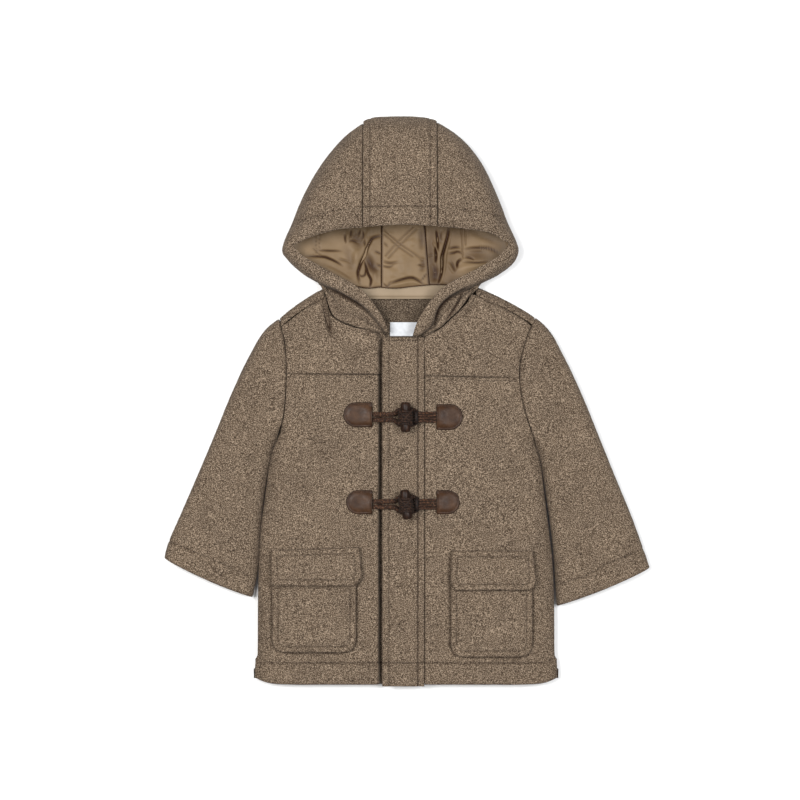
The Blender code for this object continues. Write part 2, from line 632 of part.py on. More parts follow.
HOOD_LEFT = ("fx", "fy", "fz", "ox", "oy", "oz", "rx", "ry", "rz"), [
    (30.5, 173.5, 46.0, 30.4, 279.5, 15.0, 30.2, 103.2, 0.0),
    (48.0, 172.0, 44.5, 52.0, 265.5, 15.0, 41.0, 102.8, 0.0),
    (67.0, 170.0, 41.0, 73.0, 241.5, 14.5, 50.0, 102.2, 0.0),
    (83.0, 167.0, 36.0, 89.0, 209.5, 14.0, 58.0, 101.6, 0.0),
    (94.0, 161.5, 31.0, 100.0, 181.5, 14.0, 66.4, 102.4, 1.2),
    (100.0, 155.0, 28.0, 111.6, 149.5, 14.0, 68.8, 107.6, 4.4),
    (95.0, 148.5, 27.0, 109.0, 139.5, 13.5, 68.8, 112.4, 7.0),
    (79.0, 138.0, 26.5, 93.0, 127.5, 13.0, 68.8, 115.8, 11.5),
    (59.0, 127.5, 26.5, 75.0, 118.5, 16.5, 68.2, 114.2, 16.6),
    (42.0, 118.5, 27.0, 56.0, 109.5, 20.5, 62.2, 105.0, 19.3),
    (30.0, 109.0, 27.5, 39.5, 101.0, 21.5, 52.4, 91.8, 20.2),
    (20.0, 96.0, 27.5, 31.0, 90.5, 22.0, 42.4, 82.2, 20.4),
    (11.0, 81.5, 26.5, 26.0, 78.5, 23.0, 32.4, 73.3, 20.4),
    (5.5, 68.6, 25.0, 14.0, 68.4, 23.5, 18.0, 67.8, 20.8)]
# The centre strip: x, brim edge, crown fold; a row per line along it.
HOOD_STRIP = ("x", "brim_y", "brim_z", "crown_y"), [
    (-43.5, 172.7, 46.5, 281.0), (-36.0, 173.3, 47.3, 284.0), (-20.0, 174.4, 48.8, 285.4),
    (-6.0, 175.0, 49.2, 285.7), (8.0, 174.8, 48.8, 285.4), (22.0, 174.0, 47.6, 283.8), (29.5, 173.7, 46.5, 281.4)]
WRAP_ROWS = 8  # the first rows wrap under the hood; the others lie on the neck
TOP_TURNS = [0, 18, 38, 60, 90]
CROWN_BULGE = 4.0


def top_shares(length, reach):
    """From the front edge (0) to the outermost fold (1), closer near the fold."""
    start = 1 - reach / length
    flat = [0.0, start * 0.22, start * 0.6]
    turn = [1 - reach / length * (1 - math.cos(math.radians(a))) for a in TOP_TURNS[::-1]]
    return flat + turn


def hood_row(f, o, r, wraps, inset=0.0, low=0.0):
    """One section from the front edge over the fold to the neck seam."""
    f, o, r = np.array(f, float), np.array(o, float), np.array(r, float)
    length = np.linalg.norm((f - o)[:2])
    reach = min(20.0, 0.8 * length) if wraps else min(6.0, 0.7 * length)
    row = []
    crown = min(30.0, 2.0 * o[2]) if wraps else f[2]
    for a in top_shares(length, reach):
        p = f + (o - f) * a
        line = f[2] + (crown - f[2]) * a ** 1.6 + CROWN_BULGE * min(1.0, length / 60) * 4 * a * (1 - a)
        d = length * (1 - a)
        row.append((p[0], p[1], o[2] + (line - o[2]) * rise(d, reach)))
    under = np.linalg.norm((r - o)[:2])
    if wraps:
        reach_b = min(o[2] + 1.0, 0.7 * under)
        turns = [reach_b * (1 - math.cos(math.radians(a))) / under for a in (25, 50, 75)]
        for a in turns + [0.55, 0.78, 1.0]:
            p = o + (r - o) * a
            z = o[2] * (1 - rise(under * a, reach_b)) + r[2] * a ** 1.1
            row.append((p[0], p[1], z))
    else:
        for a, drop in ((0.08, -2.5), (0.2, -3.6), (0.34, -2.2), (0.55, 0.6), (0.78, 1.2), (1.0, 0.0)):
            p = o + (r - o) * a
            row.append((p[0], p[1], o[2] + (r[2] - o[2]) * a + drop))
    return row


def hood_side(name, table, flip):
    rows = []
    for i, q in enumerate(table[1]):
        rows.append(hood_row(q[0:3], q[3:6], q[6:9], i < WRAP_ROWS))
    return sheet(name, [rows], "wool", WOOL, flip=flip)


hood_side("hood_side_right", HOOD_RIGHT, False)
hood_side("hood_side_left", HOOD_LEFT, True)
rows = []
for x, brim_y, brim_z, crown_y in HOOD_STRIP[1]:
    neck_y = float(np.interp(x, *smooth_line(points_of(BACK_NECK), 6).T)) + SEAM
    rows.append(hood_row((x, brim_y, brim_z), (x, crown_y, 15.0), (x, neck_y, 0.0), True))
sheet("hood_center", [rows], "wool", WOOL, flip=True)

# ------------------------------------------------------------- hood lining
# A row per section: front edge under the brim or lip, outermost fold, neck band seam.
LINING_RIGHT = ("fx", "fy", "fz", "ox", "oy", "oz", "rx", "ry", "rz"), [
    (-25.0, 176.0, 43.6, -25.0, 277.5, 14.5, -25.9, 114.3, 5.0),
    (-44.0, 174.6, 42.2, -42.0, 272.0, 14.5, -30.0, 114.3, 5.0),
    (-64.0, 173.2, 40.0, -59.5, 258.5, 14.0, -36.0, 114.3, 5.4),
    (-81.0, 169.8, 36.0, -79.0, 236.0, 14.0, -42.0, 114.4, 6.0),
    (-97.0, 165.0, 31.0, -96.0, 207.0, 13.5, -48.0, 114.6, 7.0),
    (-107.8, 160.0, 26.5, -109.0, 180.0, 13.5, -55.0, 115.0, 8.5),
    (-113.5, 152.6, 23.0, -119.0, 150.0, 14.0, -62.0, 116.0, 11.0),
    (-108.5, 146.0, 22.4, -115.0, 142.6, 14.0, -68.0, 118.0, 14.0),
    (-94.6, 137.0, 22.0, -101.0, 133.0, 14.5, -72.0, 121.0, 17.0)]
LINING_LEFT = ("fx", "fy", "fz", "ox", "oy", "oz", "rx", "ry", "rz"), [
    (21.0, 176.6, 43.6, 21.0, 277.5, 14.5, 21.9, 114.3, 5.0),
    (34.0, 175.6, 42.2, 34.0, 272.0, 14.5, 25.0, 114.3, 5.0),
    (50.0, 174.2, 40.0, 52.0, 257.5, 14.0, 30.0, 114.3, 5.4),
    (67.0, 172.4, 37.0, 69.0, 236.0, 14.0, 34.0, 114.4, 6.0),
    (82.0, 169.6, 32.0, 84.0, 205.0, 13.5, 38.0, 114.6, 7.0),
    (94.4, 163.8, 26.5, 95.0, 180.0, 13.5, 43.0, 115.0, 8.5),
    (102.2, 154.6, 23.0, 106.4, 150.0, 14.0, 49.0, 116.0, 11.0),
    (97.4, 147.0, 22.4, 103.0, 142.0, 14.0, 55.0, 118.0, 14.0),
    (81.4, 136.4, 22.0, 88.0, 132.0, 14.5, 59.0, 121.0, 17.0)]
LINING_STRIP_X = (-24.0, -10.0, 4.0, 20.0)


def lining_row(f, o, r, k):
    f, o, r = np.array(f, float), np.array(o, float), np.array(r, float)
    length = np.linalg.norm((f - o)[:2])
    reach = min(16.0, 0.8 * length)
    row = []
    crown = min(23.0, 1.7 * o[2])
    for a in top_shares(length, reach)[::1]:
        p = f + (o - f) * a
        line = f[2] + (crown - f[2]) * a ** 1.25
        d = length * (1 - a)
        row.append((p[0], p[1], o[2] + (max(line, o[2] + 4.0) - o[2]) * rise(d, reach)))
    under = np.linalg.norm((r - o)[:2])
    reach_b = min(9.0, 0.5 * under)
    lift = 1.0 + 9.0 * ease((k - 3.0) / 5.0)  # the floor swells towards the lips
    floor = 4.0
    for a in (0.02, 0.06, 0.13, 0.3, 0.5, 0.7, 0.86, 1.0):
        p = o + (r - o) * a
        base = floor + lift * (1 - a) ** 1.3 + (r[2] - floor) * a ** 2
        z = o[2] + (base - o[2]) * rise(under * a, reach_b)
        row.append((p[0], p[1], max(z, floor)))
    return row


for name, table, flip in (("hood_lining_right", LINING_RIGHT, False), ("hood_lining_left", LINING_LEFT, True)):
    rows = [lining_row(q[0:3], q[3:6], q[6:9], i) for i, q in enumerate(table[1])]
    sheet(name, [rows], "satin", LINING, flip=flip)
rows = []
for x in LINING_STRIP_X:
    shift = 0.9 * (x + 2) / 22
    rows.append(lining_row((x, 176.4, 44.4), (x, 277.8, 14.5), (x + shift, 114.3, 5.0), 0))
sheet("hood_lining_center", [rows], "satin", LINING, flip=True)

INNER_Z = WOOL + SEAM
plate("neck_band", [(-56.0, 104.0), (44.0, 104.0), (46.0, 113.9), (-58.0, 113.9)], INNER_Z + 0.1, LINING, "satin")
plate("back_neck_facing", [(-60.0, 103.4), (-50.0, 76.0), (-34.0, 58.0), (-10.0, 52.0), (10.0, 52.0), (26.0, 58.0), (40.0, 76.0), (48.0, 103.4)], INNER_Z, WOOL, "wool")
plate("label", [(-17.0, 65.6), (13.0, 65.6), (13.0, 79.6), (-17.0, 79.6)], INNER_Z + WOOL + SEAM, 0.8, "label")
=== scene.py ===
"""Looks for a small child's hooded toggle coat, laid flat on its back."""
import math

import bmesh
import bpy
import numpy as np
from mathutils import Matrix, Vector
from mathutils.bvhtree import BVHTree
from mathutils.geometry import delaunay_2d_cdt


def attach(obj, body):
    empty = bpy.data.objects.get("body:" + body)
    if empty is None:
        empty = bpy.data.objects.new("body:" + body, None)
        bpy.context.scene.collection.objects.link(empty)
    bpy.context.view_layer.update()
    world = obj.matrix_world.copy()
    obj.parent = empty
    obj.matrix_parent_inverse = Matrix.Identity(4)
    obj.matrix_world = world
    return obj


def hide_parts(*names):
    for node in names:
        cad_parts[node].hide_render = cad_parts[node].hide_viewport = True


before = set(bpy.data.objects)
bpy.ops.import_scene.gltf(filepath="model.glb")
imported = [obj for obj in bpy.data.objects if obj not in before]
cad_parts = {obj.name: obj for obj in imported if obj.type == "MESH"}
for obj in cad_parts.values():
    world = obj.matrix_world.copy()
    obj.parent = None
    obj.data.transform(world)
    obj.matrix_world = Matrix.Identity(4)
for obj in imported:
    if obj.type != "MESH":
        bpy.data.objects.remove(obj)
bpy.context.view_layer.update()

MM = 0.001
SPACING = 2.0  # mm between points of a cloth surface

# ------------------------------------------------------------ driving sizes (mm)
WOOL = 3.0  # wall of the felted wool
LINING = 2.0  # quilted satin lining
LEATHER = 1.6
SEAM = 0.3  # gap between pieces at a seam
BODY_HEIGHT = 20.0  # outer height of the laid body
HEM_HEIGHT = 18.5  # outer height at the hem
SIDE_MID = 10.0  # height of the side folds' outermost line
FOLD_REACH = 13.0  # how far in a side fold is rounded
FOLD_SOFT = 19.0  # reach of its softer front
SIDE_GAP = 0.35  # half the seam gap at the side folds
HEM_Y = -283.5
HEM_CORNER = 28.0  # reach of the rounded hem corners
HEM_LIFT = 6.0
YOKE_Y_LEFT = 27.5  # yoke seams at their middle
YOKE_Y_RIGHT = 25.0
PLACKET_LEFT = -25.0
PLACKET_RIGHT = 17.3
PLACKET_TOP = 64.0
PLACKET_WALL = 4.0
PLACKET_HEIGHT = 21.4
UNDERLAP_DROP = 7.0  # how deep the covered front dips beside the placket
UNDERLAP_END = 9.0
SLEEVE_GAP = 0.45  # clearance between a sleeve and the body's side
SHOULDER_TURN = 60.0  # degrees the back wraps over the shoulder fold

# The body's edges: armhole seam from the shoulder tip to the underarm, then side fold.
ARMHOLE_LEFT = ("x", "y"), [
    (-128.0, 83.0), (-125.0, 71.0), (-121.6, 56.0), (-120.4, 28.5),
    (-121.8, 0.0), (-124.0, -18.0), (-128.0, -30.0)]
SIDE_LEFT = ("x", "y"), [
    (-128.0, -30.0), (-137.0, -54.0), (-140.6, -78.0), (-144.5, -106.0),
    (-147.6, -130.0), (-149.2, -160.0), (-150.0, -200.0), (-150.4, -253.0),
    (-152.6, -259.0), (-152.6, -283.5)]
ARMHOLE_RIGHT = ("x", "y"), [
    (128.5, 84.0), (120.5, 67.0), (113.6, 43.0), (112.2, 25.0),
    (115.0, 2.5), (121.0, -20.0), (129.0, -40.0)]
SIDE_RIGHT = ("x", "y"), [
    (129.0, -40.0), (134.5, -62.0), (138.0, -90.0), (143.0, -130.0),
    (146.6, -163.0), (148.2, -205.0), (148.6, -253.0),
    (150.9, -259.0), (150.9, -283.5)]
# Shoulder folds, from the neck to the tip.
SHOULDER_LEFT = ("x", "y"), [
    (-84.0, 113.5), (-101.0, 103.5), (-118.0, 91.5), (-128.0, 83.0)]
SHOULDER_RIGHT = ("x", "y"), [
    (71.0, 115.0), (96.0, 103.0), (117.0, 91.5), (128.5, 84.0)]
# Front neckline seam, from the shoulder down to the centre front.
NECK_LEFT = ("x", "y"), [
    (-81.6, 104.0), (-79.0, 94.5), (-75.6, 86.5), (-70.0, 81.5), (-62.4, 77.9),
    (-50.0, 73.5), (-40.0, 71.0), (-30.0, 68.8), (-20.0, 67.2)]
NECK_RIGHT = ("x", "y"), [
    (64.6, 105.5), (60.0, 98.5), (52.7, 91.1), (42.8, 81.5), (32.8, 72.6), (25.0, 68.2), (17.6, 67.0)]
BACK_NECK_Y = 103.5
# Back neckline seam from the left shoulder to the right one.
BACK_NECK = ("x", "y"), [
    (-84.0, 97.6), (-72.0, 99.8), (-55.0, 102.2), (-25.0, 103.5), (10.0, 103.5),
    (42.0, 102.4), (58.0, 101.2), (71.0, 100.2)]



def points_of(table):
    return np.array(table[1], float)


def along(points, shares):
    """Points at these shares of a line's length."""
    points = np.asarray(points, float)
    step = np.linalg.norm(np.diff(points, axis=0), axis=1)
    run = np.concatenate([[0.0], np.cumsum(step)])
    at = np.asarray(shares, float) * run[-1]
    return np.stack([np.interp(at, run, points[:, k]) for k in range(points.shape[1])], axis=1)


def smooth_line(points, per=8):
    """A Catmull-Rom line through the points."""
    p = np.asarray(points, float)
    p = np.vstack([2 * p[0] - p[1], p, 2 * p[-1] - p[-2]])
    out = []
    for i in range(1, len(p) - 2):
        for k in range(per):
            t = k / per
            out.append(0.5 * ((2 * p[i]) + (p[i + 1] - p[i - 1]) * t
                              + (2 * p[i - 1] - 5 * p[i] + 4 * p[i + 1] - p[i + 2]) * t * t
                              + (3 * p[i] - p[i - 1] - 3 * p[i + 1] + p[i + 2]) * t ** 3))
    out.append(p[-2])
    return np.array(out)


def ease(t):
    t = min(max(t, 0.0), 1.0)
    return t * t * (3 - 2 * t)


def distance_to(line, x, y):
    a, b = line[:-1], line[1:]
    d = b - a
    t = np.clip(((x - a[:, 0]) * d[:, 0] + (y - a[:, 1]) * d[:, 1]) / (d ** 2).sum(1), 0, 1)
    return float(np.sqrt(((a + d * t[:, None] - (x, y)) ** 2).sum(1)).min())


FOLDS = [smooth_line(points_of(t), 6) for t in (SIDE_LEFT, SIDE_RIGHT, SHOULDER_LEFT, SHOULDER_RIGHT)]


def rise(d, reach):
    """0 on a fold's outermost line, 1 on the flat."""
    q = min(max(d / reach, 0.0), 1.0)
    return math.sqrt(max(0.0, 1 - (1 - q) ** 2))


def body_height(y):
    return HEM_HEIGHT + (BODY_HEIGHT - HEM_HEIGHT) * ease((y + 284) / 24)


def front_z(x, y, dip=0.0):
    """Height of the front's outer face."""
    d = min(distance_to(line, x, y) for line in FOLDS)
    z = SIDE_MID + SIDE_GAP + (body_height(y) - SIDE_MID - SIDE_GAP) * rise(d, FOLD_SOFT)
    return z - (dip + 1.0) * ease((x + 29.4) / 2.7) * (dip > 0)


def back_z(x, y):
    d = min(distance_to(line, x, y) for line in FOLDS)
    return (SIDE_MID - SIDE_GAP) * (1 - rise(d, FOLD_REACH))


def coons(bottom, top, left, right, us, vs):
    """A patch between four edges; u runs left to right, v bottom to top."""
    b, t = along(bottom, us), along(top, us)
    l, r = along(left, vs), along(right, vs)
    rows = []
    for j, v in enumerate(vs):
        row = []
        for i, u in enumerate(us):
            p = ((1 - v) * b[i] + v * t[i] + (1 - u) * l[j] + u * r[j]
                 - ((1 - u) * (1 - v) * b[0] + u * (1 - v) * b[-1] + (1 - u) * v * t[0] + u * v * t[-1]))
            row.append(p)
        rows.append(row)
    return np.array(rows)


def rounded(corners, radii, per=4):
    """An outline with its corners rounded; radius 0 keeps a corner sharp."""
    pts = np.array(corners, float)
    out = []
    for i, r in enumerate(radii):
        p, a, b = pts[i], pts[i - 1], pts[(i + 1) % len(pts)]
        if r <= 0:
            out.append(tuple(p))
            continue
        da, db = (a - p) / np.linalg.norm(a - p), (b - p) / np.linalg.norm(b - p)
        half = math.acos(float(np.clip(da @ db, -1, 1))) / 2
        reach = r / math.tan(half)
        start, end = p + da * reach, p + db * reach
        for k in range(per + 1):
            t = k / per
            out.append(tuple((1 - t) ** 2 * start + 2 * t * (1 - t) * p + t * t * end))
    return out


# --------------------------------------------------------------- fine surfaces
def through(p, knots, at, closed=False):
    """A smooth line through the rows of p, which lie at these distances, read at others."""
    p = np.asarray(p, float)
    h = np.diff(knots)
    wide = (-1,) + (1,) * (p.ndim - 1)
    hs = h.reshape(wide)
    d = np.diff(p, axis=0) / hs
    m = np.empty_like(p)
    m[1:-1] = (d[:-1] * hs[1:] + d[1:] * hs[:-1]) / (hs[1:] + hs[:-1])
    if closed:
        m[0] = m[-1] = (d[-1] * h[0] + d[0] * h[-1]) / (h[0] + h[-1])
    elif len(p) > 2:
        m[0], m[-1] = 1.5 * d[0] - 0.5 * m[1], 1.5 * d[-1] - 0.5 * m[-2]
    else:
        m[0] = m[-1] = d[0]
    at = np.clip(at, knots[0], knots[-1])
    i = np.clip(np.searchsorted(knots, at, side="right") - 1, 0, len(p) - 2)
    t = ((at - knots[i]) / h[i]).reshape(wide)
    q = h[i].reshape(wide)
    return (p[i] * (2 * t ** 3 - 3 * t ** 2 + 1) + m[i] * q * (t ** 3 - 2 * t ** 2 + t)
            + p[i + 1] * (3 * t ** 2 - 2 * t ** 3) + m[i + 1] * q * (t ** 3 - t ** 2))


EDGE_STEPS = np.array([0.0, 0.35, 0.9, 1.7, 2.7])


def distances(points):
    """Mean distance run along axis 0 of a grid."""
    seg = np.linalg.norm(np.diff(points, axis=0), axis=-1)
    seg = seg.mean(axis=1)
    return np.concatenate([[0.0], np.cumsum(np.maximum(seg, 0.02))])


def sample_at(total, spacing, closed=False, lines=()):
    """Distances at which a surface gets points: even, closer at its borders and at the lines sewn across it."""
    if closed:
        at = np.linspace(0, total, max(8, int(total / spacing)) + 1)
    else:
        edge = EDGE_STEPS[EDGE_STEPS < total * 0.3]
        inner = np.linspace(edge[-1], total - edge[-1], max(2, int((total - 2 * edge[-1]) / spacing)) + 1)
        at = np.concatenate([edge[:-1], inner, (total - edge[:-1])[::-1]])
    if lines:
        dense = []
        for line in lines:
            near = line + np.array([-2.0, -1.3, -0.75, -0.3, 0.3, 0.75, 1.3, 2.0])
            at = at[np.abs(at - line) > 2.6]
            dense += list(near[(near > 0.4) & (near < total - 0.4)])
        at = np.unique(np.concatenate([at, dense]))
    return at


def graded(total, stretches):
    """Distances with a spacing of their own for each stretch, (share of the whole, spacing)."""
    at, start = [0.0], 0.0
    for share, spacing in stretches:
        end = min(total, start + share * total)
        at += list(np.linspace(start, end, max(1, int(round((end - start) / spacing))) + 1)[1:])
        start = end
    edge = EDGE_STEPS[1:]
    at = np.array(at)
    at = at[(at > 3.2) & (at < total - 3.2)]
    return np.unique(np.concatenate([[0.0], edge, at, total - edge, [total]]))


def hash_noise(p, seed=0):
    """Smooth value noise in -1..1 at points p (n, 3), one unit to a cell."""
    i = np.floor(p).astype(np.int64)
    f = p - i
    f = f * f * (3 - 2 * f)
    out = np.zeros(len(p))
    for dx in (0, 1):
        for dy in (0, 1):
            for dz in (0, 1):
                k = (i[:, 0] + dx) * 374761393 + (i[:, 1] + dy) * 668265263 + (i[:, 2] + dz) * 2147483647 + seed * 974634777
                k = (k ^ (k >> 13)) * 1274126177
                k = (k ^ (k >> 16)) & 0xFFFFFF
                w = (f[:, 0] if dx else 1 - f[:, 0]) * (f[:, 1] if dy else 1 - f[:, 1]) * (f[:, 2] if dz else 1 - f[:, 2])
                out += w * (k / 0x7FFFFF - 1.0)
    return out


def grid_normals(g, closed):
    m = g.shape[1]
    if closed:
        ring = g[:, :-1]
        du = np.roll(ring, -2, axis=1) - np.roll(ring, 2, axis=1)
        du = np.concatenate([du, du[:, :1]], axis=1)
    else:
        du = g[:, np.minimum(np.arange(m) + 2, m - 1)] - g[:, np.maximum(np.arange(m) - 2, 0)]
    k = g.shape[0]
    dv = g[np.minimum(np.arange(k) + 2, k - 1)] - g[np.maximum(np.arange(k) - 2, 0)]
    n = np.cross(du, dv)
    return n / np.maximum(np.linalg.norm(n, axis=2, keepdims=True), 1e-9)


def line_distance(line, x, y):
    """Distance of each (x, y) to an open line, and how far along it the nearest point is (0 to 1)."""
    line = np.asarray(line, float)
    a, d = line[:-1], np.diff(line, axis=0)
    length = np.linalg.norm(d, axis=1)
    run = np.concatenate([[0.0], np.cumsum(length)])
    best = np.full(x.shape, 1e9)
    where = np.zeros(x.shape)
    for k in range(len(a)):
        t = np.clip(((x - a[k, 0]) * d[k, 0] + (y - a[k, 1]) * d[k, 1]) / max(length[k] ** 2, 1e-9), 0, 1)
        q = np.hypot(a[k, 0] + d[k, 0] * t - x, a[k, 1] + d[k, 1] * t - y)
        near = q < best
        best = np.where(near, q, best)
        where = np.where(near, (run[k] + t * length[k]) / run[-1], where)
    return best, where


def groove(x, y, line, width=1.1, depth=0.45):
    d, _ = line_distance(line, x, y)
    return -depth * np.exp(-(d / width) ** 2)


def crease(x, y, line, width, depth, dark=0.0):
    """A soft trough (depth > 0) or ridge (depth < 0) that fades towards its ends, and how much painted shade it gets.
    """
    d, t = line_distance(smooth_line(line, 4), x, y)
    fade = np.sin(np.pi * np.clip(t, 0.02, 0.98)) ** 0.6
    across = fade * np.exp(-(d / width) ** 2)
    return -depth * across, dark * across


def mesh_from_grids(name, shells):
    """One mesh from closed shells, each (outer grid, inner grid, closed, painted shade outside, painted shade inside).
    """
    verts, faces, painted_shades, base = [], [], [], 0
    for outer, inner, closed, painted_shade_outer, painted_shade_inner in shells:
        n, m = outer.shape[:2]
        mm = m - 1 if closed else m
        o = outer[:, :mm].reshape(-1, 3)
        q = inner[:, :mm].reshape(-1, 3)
        verts += [o, q]
        painted_shades += [painted_shade_outer[:, :mm].ravel(), painted_shade_inner[:, :mm].ravel()]
        k = n * mm
        i, j = np.meshgrid(np.arange(n - 1), np.arange(mm if closed else mm - 1), indexing="ij")
        i, j = i.ravel(), j.ravel()
        j2 = (j + 1) % mm
        a, b, c, d = i * mm + j, i * mm + j2, (i + 1) * mm + j2, (i + 1) * mm + j
        f = [np.stack([a, b, c, d], 1) + base, np.stack([d, c, b, a], 1) + base + k]
        # rims
        jj = np.arange(mm if closed else mm - 1)
        j2 = (jj + 1) % mm
        f.append(np.stack([jj, jj + k, j2 + k, j2], 1) + base)
        top = (n - 1) * mm
        f.append(np.stack([top + jj, top + j2, top + j2 + k, top + jj + k], 1) + base)
        if not closed:
            ii = np.arange(n - 1)
            l0, l1 = ii * mm, (ii + 1) * mm
            f.append(np.stack([l0, l1, l1 + k, l0 + k], 1) + base)
            r0, r1 = ii * mm + mm - 1, (ii + 1) * mm + mm - 1
            f.append(np.stack([r0, r0 + k, r1 + k, r1], 1) + base)
        faces.append(np.concatenate(f))
        base += 2 * k
    mesh = bpy.data.meshes.new(name)
    v = np.concatenate(verts) * MM
    f = np.concatenate(faces)
    mesh.vertices.add(len(v))
    mesh.vertices.foreach_set("co", v.astype(np.float32).ravel())
    mesh.loops.add(f.size)
    mesh.loops.foreach_set("vertex_index", f.astype(np.int32).ravel())
    mesh.polygons.add(len(f))
    mesh.polygons.foreach_set("loop_start", np.arange(0, f.size, 4, dtype=np.int32))
    mesh.update(calc_edges=True)
    mesh.validate()
    mesh.shade_smooth()
    set_painted_shade_and_tone(mesh, np.concatenate(painted_shades))
    return mesh


def set_painted_shade_and_tone(mesh, values):
    """Painted shade: how much darker than the plain cloth each point is, in seams, deep creases and on faces turned
    from the light; on the cords also their own darker wrap.
    """
    made = mesh.attributes.new("dark", "FLOAT", "POINT")
    made.data.foreach_set("value", np.clip(values, 0, 1).astype(np.float32))


PIECES = {}
SURFACES = {}  # name: BVH of the piece's outer face, for what lies on it


def finish_piece(obj, kind, node):
    bpy.context.scene.collection.objects.link(obj)
    obj.data.materials.append(MATS[kind])
    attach(obj, "root")
    if node:
        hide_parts(*([node] if isinstance(node, str) else node))
    PIECES[obj.name] = obj
    return obj


DETAILS = {}  # name: function(x, y, z, nz, border) giving the outward move in mm, and the painted shade
KINDS = {"back_neck_facing": "wool_painted_shade", "neck_band": "band"}
PLATE_STEP = {"wool": 2.0, "satin": 2.0, "leather": 1.0, "label": 1.6}
PLATE_WORD = {"leather": "hide", "label": "woven"}
PLATE_RINGS = {}
SPACINGS = {"back": 2.4, "hood_lining_right": 1.4, "hood_lining_left": 1.4, "hood_lining_center": 1.2, "placket": 1.6,
            "hood_side_right": 1.75, "hood_side_left": 1.75, "hood_center": 1.5, "front_right": 1.7, "front_left": 1.7}
EDGES = {"placket": 0.6, "hood_side_right": 0.75, "hood_side_left": 0.75, "hood_center": 0.75}
PLATE_SHAPE = {}
SIDE_PAINTED_SHADE = (0.58, 0.36)  # painted shade on faces turning away from the light, and on upright ones
# Painted shade along each piece's seam borders: (how much, reach, broader amount).
BORDER_PAINTED_SHADE = {"hood_center": (0.22, 0.8, 0.05), "hood_side_right": (0.25, 0.8, 0.08), "hood_side_left": (0.25, 0.8, 0.08),
               "placket": (0.10, 0.8, 0.04), "back": (0.22, 0.8, 0.05), "yoke_right": (0.30, 0.8, 0.08), "yoke_left": (0.30, 0.8, 0.08),
               "front_left": (0.30, 0.8, 0.08)}
THIN = {"hood_side_right": [(-88.0, 115.5, 7.0)], "hood_side_left": [(75.0, 117.5, 7.0)], "back": [(-152.0, -273.0, 8.0), (151.0, -273.0, 8.0)]}  # where the wall is pressed flat
GRADED = {}  # name: stretches along v and along u, (share, spacing), where some of the piece needs finer points
CLOTH = {"closed": ("sleeve_right", "sleeve_left")}


LINES = {}  # name: (distances of sewn lines along v, along u) that get closer points
OPEN_ENDS = {}  # name: for each grid, which borders continue in another grid ("v0", "v1")


